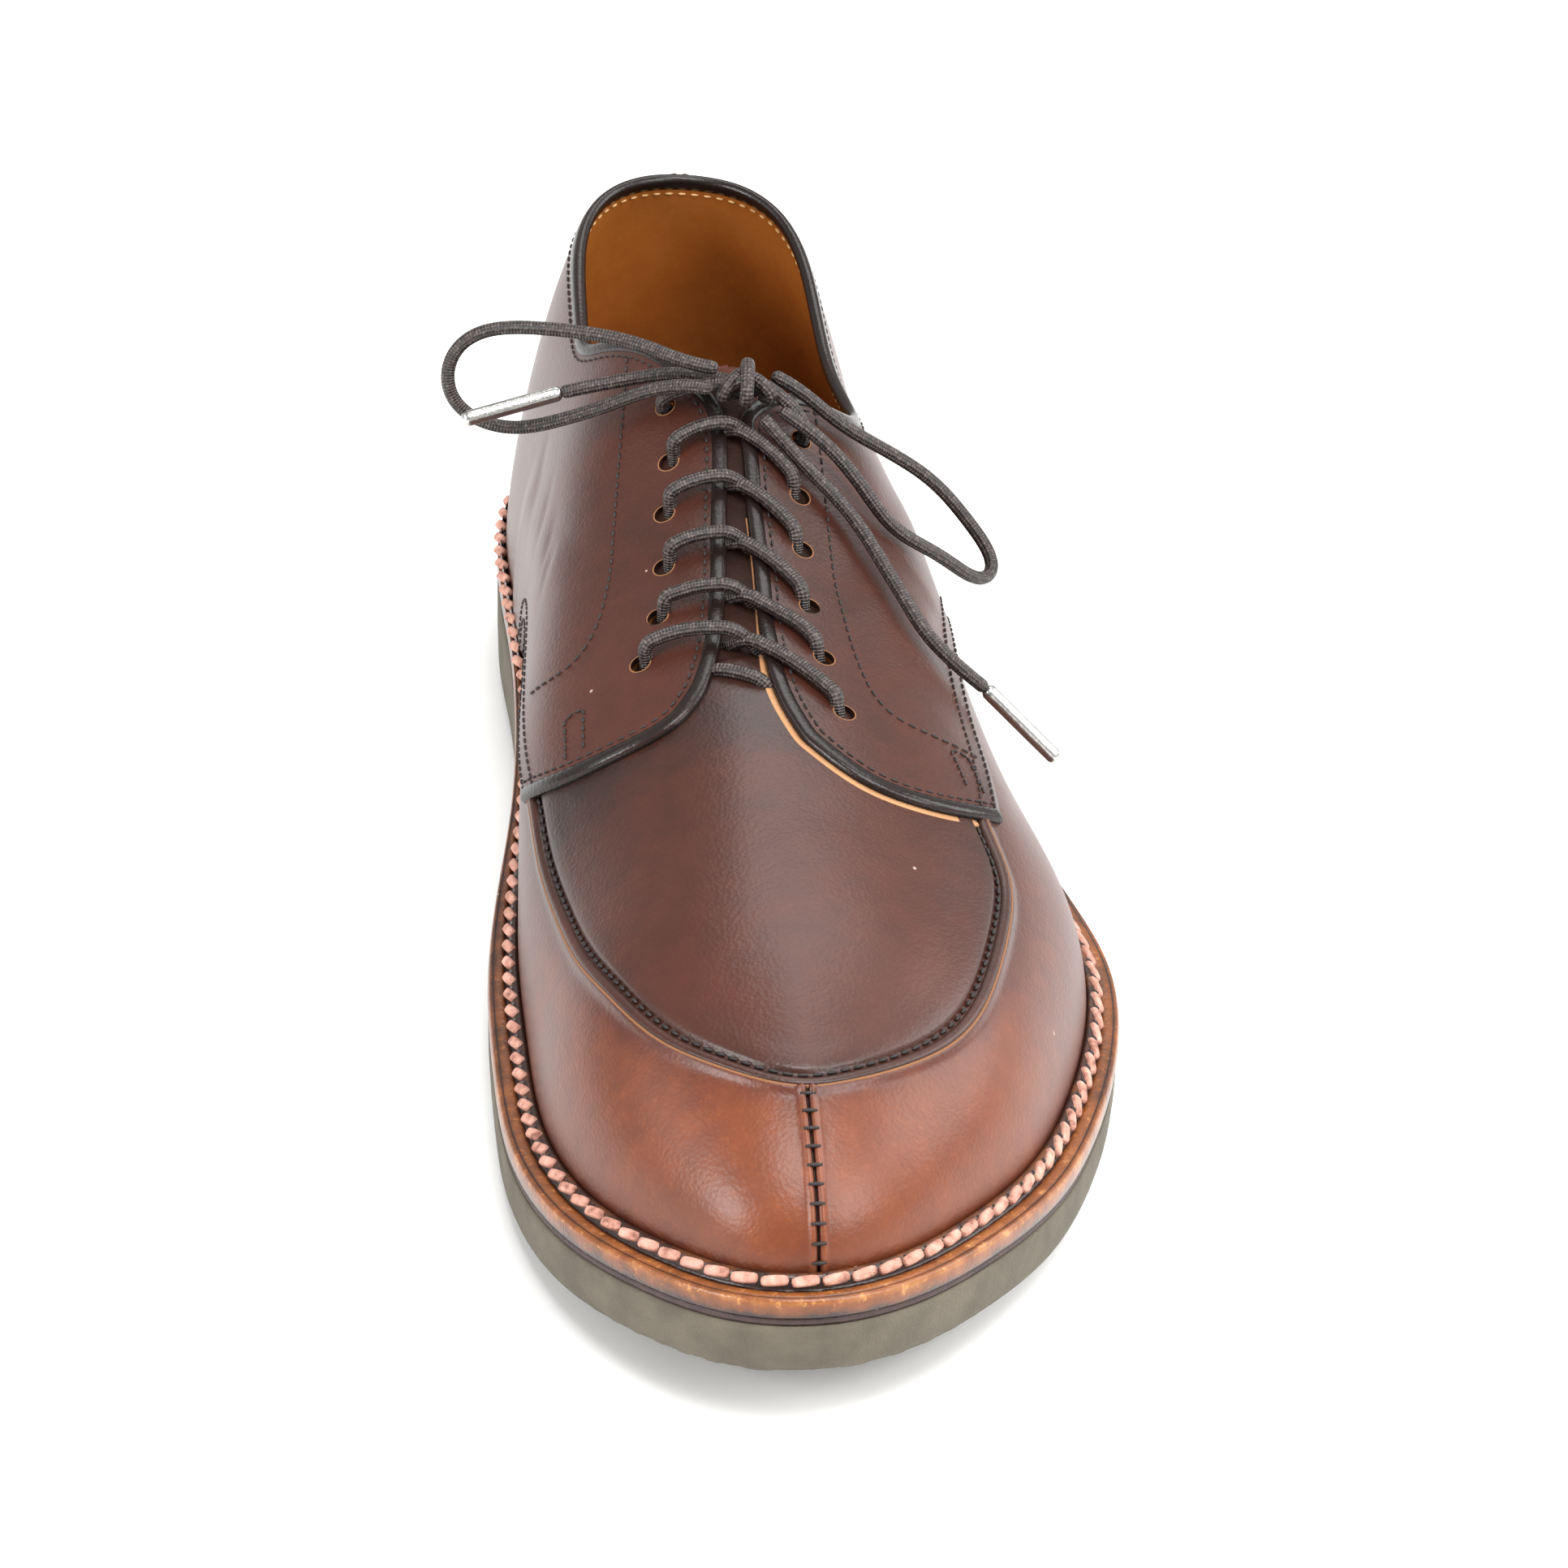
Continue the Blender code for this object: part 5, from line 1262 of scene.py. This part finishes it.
# %% Bar tacks where the arch meets the facings' front
TACK_WIDTH = 0.0044
TACK_LENGTH = 0.0090
for name, (x, y, z), lean in (("outer", BAR_TACKS[0], 0.15), ("inner", BAR_TACKS[1], -0.15)):
    spot = np.array((x - CENTRE[0], y, z))
    up = outward(*snap_points(spot)[0])
    forward = np.array((lean, -1.0, -0.2))
    forward -= up * (forward @ up)
    forward /= np.linalg.norm(forward)
    aside = np.cross(up, forward)
    corners = [spot + aside * a * TACK_WIDTH / 2 + forward * b * TACK_LENGTH / 2
               for a, b in ((-1, 1), (-1, -1), (1, -1), (1, 1))]
    u, t = snap_points(resample(np.array(corners), 0.0006)).T
    thread("bar_tack_" + name, "bar_tack", over_quarter(u, t, 0.0001), outward(u, t))

# %% [markdown]
# ## The welt
# A split reverse welt turns up against the upper, so its ridge shows all round and carries
# the thick pale stitches. Its section is swept round the loop. The stitches are fat short
# bodies laid in the groove between ridge and shoulder.

# %% Section of the welt


def wall_reach(u):
    """How far the upper's wall stands past the feather line near the welt."""
    t = np.linspace(0.0, 0.12, 7)
    columns = u[:, None] + np.zeros(len(t))
    lapped = np.maximum(vamp_back_outer - columns, columns - vamp_back_inner) * LOOP_LENGTH
    thick = np.where(lapped > -LAP_WIDTH, LAP_LIFT + QUARTER_WALL, VAMP_WALL)
    wall = off_last(columns, t + 0 * columns, thick)
    foot = last(u, 0.0)
    reach = ((wall - foot[:, None])[..., :2] * -inward(u)[:, None]).sum(axis=-1)
    low_enough = wall[..., 2] - foot[:, None, 2] < 0.0035
    return np.where(low_enough, reach, 0.0).max(axis=1)


welt_u = np.linspace(0.0, 1.0, 241)[:-1]
wall_at = spline(welt_u, wall_reach(welt_u), period=1.0)
welt_columns = np.linspace(0.0, 1.0, 901)
# across: share from the wall's foot (0) to the edge (1); up in mm
WELT_SECTION = np.array([
    (-0.10, -0.5), (-0.02, 2.6), (0.04, 3.1), (0.14, 3.2), (0.24, 2.9), (0.31, 2.2), (0.36, 0.9), (0.41, 0.35),
    (0.47, 0.55), (0.56, 0.75), (0.70, 0.70), (0.80, 0.62), (0.835, 0.42), (0.86, 0.60), (0.95, 0.40),
    (1.00, -0.10), (1.02, -0.9), (1.02, -1.9), (1.01, -2.8), (0.985, -3.2), (0.55, -3.2)])


def welt_point(u, share, up):
    """Point of the welt at a share of its width and a height over the seat."""
    reach = rib_traits(u)[..., 0] * WELT_REACH
    start = wall_at(u)
    across = start + (reach - start) * share
    plan = edge(u) + inward(u) * (reach - across)[:, None]
    return np.column_stack([plan, seat_height(plan[:, 1]) + up])


def welt_place(u, k):
    """Point of the welt at a row of its section."""
    k = k.astype(int)
    return welt_point(u, WELT_SECTION[k, 0], WELT_SECTION[k, 1] * MM)


# Tone of each row of the section: brown ridge, painted shade in the groove, amber shoulder, a dark line of painted
# shade in the small groove, speckled edge
WELT_TONE_AND_SHADE = np.array([-0.2, -0.05, 0.10, 0.15, 0.05, -0.10, -0.35, -0.30, 0.30, 0.42, 0.46, 0.35, -0.30, 0.32, 0.45,
                      0.62, 0.42, 0.32, 0.05, -0.1, -0.1])


def welt_tone_and_shade(u, k, points):
    """Tone by row, darker away from the toe."""
    return WELT_TONE_AND_SHADE[k.astype(int)] - 0.22 * (1.0 - bell((u - TOE) / 0.17))


welt = sheet("storm_welt", welt_columns, range(len(WELT_SECTION)), welt_place, WELT_AMBER, closed=True,
             tone=welt_tone_and_shade)
print("welt", [round(x * 1000, 1) for x in welt.dimensions])

# %% Thick stitches of the welt
line_u = np.linspace(0.0, 1.0, 1500)
level = np.ones(len(line_u))
stitch_line = welt_point(line_u, level * 0.29, level * (2.15 * MM))
stitch_up = np.column_stack([-inward(line_u) * 0.75, level * 0.66])


def stitch_slant(line):
    """Slant of the welt stitches, larger away from the toe."""
    return 0.10 + 0.32 * smooth_step((line[:, 1] + 0.135) / 0.05)


thread("welt_stitches", "welt", stitch_line, stitch_up, PINK_THREAD, turn=stitch_slant,
       segments=12, rings=10, blunt=0.55)
later = int(np.searchsorted(travel(stitch_line), STITCHES["welt"][0] / 2))
thread("welt_stitch_gaps", "welt_gap", stitch_line[later:], stitch_up[later:], sink=-0.0002, turn=crossways)

# %% [markdown]
# ## Midsole and outsole
# Under the welt lies a thin dark leather, then a one-piece wedge of foam rubber. Both are
# lofted from heel to toe as closed sections, and the shallow wave of the tread is cut into
# the bottom of the wedge's sections.

# %% Outline of the sole as two rows


def outline(inset, stations):
    """Outer and inner plan rows of an outline at an inset from the sole's edge."""
    u = np.linspace(0, 1, 4001)
    plan = edge(u) + inward(u) * inset
    toe, back = np.argmin(plan[:, 1]), np.argmax(plan[:, 1])
    plan = np.roll(plan[:-1], -back, axis=0)
    toe = (toe - back) % len(plan)
    outer_side, inner_side = plan[: toe + 1], np.vstack([plan[toe:], plan[:1]])
    y = plan[toe, 1] + (plan[0, 1] - plan[toe, 1]) * stations
    return (np.interp(-y, -outer_side[:, 1], outer_side[:, 0]),
            np.interp(y, inner_side[:, 1], inner_side[:, 0]), y)


round_ends = (1 - np.cos(np.linspace(0, np.pi, 700))) / 2
stations = round_ends * 0.35 + np.linspace(0, 1, 700) * 0.65


def layer(name, section, heights, finish, tread=None):
    """Closed loft from heel to toe; section rows are inset in mm and a share of the height."""
    section = np.array(section)
    outers, inners, alongs = np.moveaxis([outline(inset * MM, stations) for inset in section[:, 0]], 1, 0)
    across = np.concatenate([np.zeros(len(section)), np.linspace(0, 1, 26)[1:-1], np.ones(len(section)),
                             np.linspace(1, 0, 9)[1:-1], [0.0]])
    order = list(range(len(section)))
    level = np.concatenate([order, np.full(24, order[-1]), order[::-1], np.zeros(7), [0]]).astype(int)

    def place(a, b):
        i, k = a.astype(int), b.astype(int)
        rows = level[k]
        y = alongs[rows, i]
        x = outers[rows, i] + (inners[rows, i] - outers[rows, i]) * across[k]
        bottom, top = heights(y)
        z = bottom + (top - bottom) * section[rows, 1]
        if tread is not None:
            z = z + tread(x, y) * (rows == len(section) - 1)
        return np.column_stack([x, y, z])

    return sheet(name, range(len(stations)), range(len(across)), place, finish, closed=True)


SEAT_LOW = WELT_THICKNESS + GAP
MIDSOLE_LOW = SEAT_LOW + MIDSOLE_THICKNESS
midsole = layer("midsole_edge", [(0.35, 1.0), (0.15, 0.5), (0.35, 0.0)],
                lambda y: (seat_height(y) - MIDSOLE_LOW, seat_height(y) - SEAT_LOW + 0.0002), MIDSOLE_DARK)
WAVE_PITCH = 0.0046
WAVE_DEPTH = 0.0009


def waves(x, y):
    """Shallow waves across the tread, cut upwards so that their crests stay on the floor."""
    wave = 0.5 + 0.5 * np.sin(2 * np.pi * (y / WAVE_PITCH + 0.35 * np.sin(x / 0.009)))
    return WAVE_DEPTH * wave ** 2


outsole = layer("foam_wedge", [(0.1, 1.0), (0.0, 0.85), (0.05, 0.5), (0.25, 0.2), (0.8, 0.06), (1.3, 0.0)],
                lambda y: (tread_height(y), seat_height(y) - MIDSOLE_LOW - GAP / 2), OLIVE_FOAM, tread=waves)

# %% [markdown]
# ## Tongue
# The tongue lies under the facings and shows in the gap and at the top. It is one sheet,
# parallel to the last, a little inside it.

# %% Tongue sheet
TONGUE_FRONT, TONGUE_TOP, TONGUE_SHOULDER, TONGUE_HALF_WIDTH = -0.112, 0.172, 0.100, 0.024


def tongue_shares(share, b):
    """Loop and rib shares at a share of the ridge and a share across, -1 to 1."""
    u = np.where(b <= 0, ridge_partner(share, False), ridge_partner(share, True))
    past = (share - TONGUE_SHOULDER) / (TONGUE_TOP - TONGUE_SHOULDER)
    rounded = np.where(past > 0, np.sqrt(np.clip(1.0 - np.square(past), 0.0, 1.0)), 1.0)
    half = TONGUE_HALF_WIDTH * rounded * np.where(b <= 0, 0.7, 1.0)
    return u, 1.0 - np.abs(b) * half / rib_length(u)


def tongue_place(share, b):
    """Point of the tongue's outer face, inside the last."""
    return off_last(*tongue_shares(share, b), np.full(len(b), -0.0007))


def tongue_painted_shade(share, b, points):
    """Painted shade below the laces, lighter at the free top."""
    return 0.10 + 0.5 * smooth_step((points[:, 1] - 0.042) / 0.01)


tongue = sheet("tongue_sheet", np.linspace(TONGUE_FRONT, TONGUE_TOP, 120), np.linspace(-1, 1, 61), tongue_place,
               TONGUE_BROWN_AND_SHADE, flip=True, tone=tongue_painted_shade)
thicken(tongue, 0.0016)

# %% [markdown]
# ## Laces through the eyelets
# Each visible length comes up out of an eyelet, crosses the bound edge towards the ankle
# and dives under the other facing. The run is drawn on the last and lifted to lie on the
# leather, and its ends sink below the surface.

# %% Lace rows
outer_eye, inner_eye = eyelet_at[:6], eyelet_at[6:]
CORD_STEP = 0.0005
EYELET_SINK = 0.0024
FACING_SINK = 0.0030


def lace_run(start, goal, top):
    """Run from inside an eyelet over the facing to under the other facing."""
    shares = np.linspace(0.0, 1.0, 46)
    bend = start + (goal - start) * 0.30 + np.array((0.0, 0.0050, 0.0028))
    share = shares[:, None]
    flat = start * (1 - share) ** 2 + 2 * bend * share * (1 - share) + goal * share ** 2
    u, t = snap_points(flat).T
    distance = np.linalg.norm(goal - start) * shares
    left = np.linalg.norm(goal - start) * (1 - shares)
    lift = LACE / 2 + top
    rise = -EYELET_SINK + (lift + EYELET_SINK) * smooth_step(distance / 0.0042)
    dive = -FACING_SINK + (lift + FACING_SINK) * smooth_step(left / 0.0070)
    height = np.where(distance < distance.mean(), rise, dive)
    return smooth_run(off_last(u, t, lap_lift(u, t) + QUARTER_WALL + height)[::3], CORD_STEP)


def lacing(name, run, row):
    """Lace cord along a run, in place of one of the solid rows or arms, which is hidden."""
    made = cord("lacing_" + name, run, LACE, LACE_BROWN)
    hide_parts("lace_" + row)


# The runs from the inner eyelets lie over the others, so they stand higher
LACE_ADVANCE = 0.0060
for row in range(1, 6):
    for side, start, top in (("outer", outer_eye, 0.0003), ("inner", inner_eye, 0.0016)):
        crossing = (outer_eye[row, 1] + inner_eye[row, 1]) / 2 + LACE_ADVANCE
        height, x = ridge_line(crossing)
        cross_at = np.array([x, crossing, height])
        towards = cross_at - start[row]
        goal = cross_at + towards / np.linalg.norm(towards) * 0.0065
        lacing("%d_%s" % (row + 1, side), lace_run(start[row], goal, top), "row_%d" % (row + 1))

# %% Arms from the top eyelets to the knot, and the bar across the vamp
for side, away, eyelet in (("outer", 0.0030, 0), ("inner", -0.0030, 6)):
    start, up = eyelet_at[eyelet], eyelet_up[eyelet]
    goal = KNOT_CENTRE + (away, 0.0, 0.0)
    route = [start - up * 0.003, start + up * 0.0012, start + (goal - start) * 0.35 + up * 0.0028, goal]
    lacing("arm_" + side, smooth_run(route, CORD_STEP), "arm_" + side)
# The bar is seen between these shares of the way between the lowest eyelets
BAR_FROM, BAR_TO = 0.33, 0.64
shares = np.linspace(BAR_FROM, BAR_TO, 24)
u, t = snap_points(inner_eye[5] + (outer_eye[5] - inner_eye[5]) * shares[:, None]).T
bar_lift = VAMP_WALL + LACE / 2 - 0.0004 - 0.0026 * np.abs((shares - 0.485) / 0.155) ** 4
lacing("bar", resample(off_last(u, t, bar_lift), CORD_STEP), "row_6")

# %% [markdown]
# ## Hiding the replaced solids
# The sheets take the place of the plain solids, which are hidden. The sheets replace
# the plain solids, which stay in the physics. The insole keeps its solid and only gets
# its leather.

# %% Hide the replaced solids and give the insole its leather
for made, solid in ((vamp_wall, "upper"), (welt, "welt"), (midsole, "midsole"), (outsole, "outsole"),
                    (tongue, "tongue")):
    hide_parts(solid)
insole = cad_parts["insole"]
insole.data.materials.clear()
insole.data.materials.append(LINING_TAN)

# %% [markdown]
# ## Floor and light
# The photograph is a bright studio sweep: a white floor, a soft shadow and broad
# reflections on the waxed toe. Large area lights above and at both sides give those.

# %% Stage
bpy.ops.mesh.primitive_plane_add(size=8.0)
floor = bpy.context.object
floor.name = "floor"
floor_finish = Finish("pale_floor")
floor_finish.set({"Base Color": (0.88, 0.88, 0.87, 1.0), "Roughness": 0.6})
floor.data.materials.append(floor_finish.material)


SHOE_MIDDLE = Vector((0.0, -0.03, 0.04))


def softbox(name, place, size, power):
    """Square area light that looks at the shoe."""
    data = bpy.data.lights.new(name, "AREA")
    data.size = size
    data.energy = power
    made = bpy.data.objects.new(name, data)
    made.location = place
    made.rotation_euler = (SHOE_MIDDLE - made.location).to_track_quat("-Z", "Y").to_euler()
    bpy.context.scene.collection.objects.link(made)


# Name, place, size and power of each softbox
for settings in (("overhead", (0.15, -0.50, 1.55), 0.9, 26.0), ("behind", (0.25, 0.75, 1.30), 0.8, 8.0),
                 ("right_side", (1.25, 0.25, 0.75), 0.9, 13.0), ("left_side", (-1.4, 0.2, 1.0), 0.8, 4.0),
                 ("front_left", (-1.40, -0.62, 0.72), 0.62, 19.0), ("front_right", (0.90, -0.85, 0.90), 0.75, 15.0)):
    softbox(*settings)
bpy.context.scene.view_settings.view_transform = "Standard"
world = bpy.data.worlds.new("studio")
world.use_nodes = True
background = world.node_tree.nodes["Background"].inputs
background["Color"].default_value = (1.0, 1.0, 1.0, 1.0)
background["Strength"].default_value = 0.52
bpy.context.scene.world = world
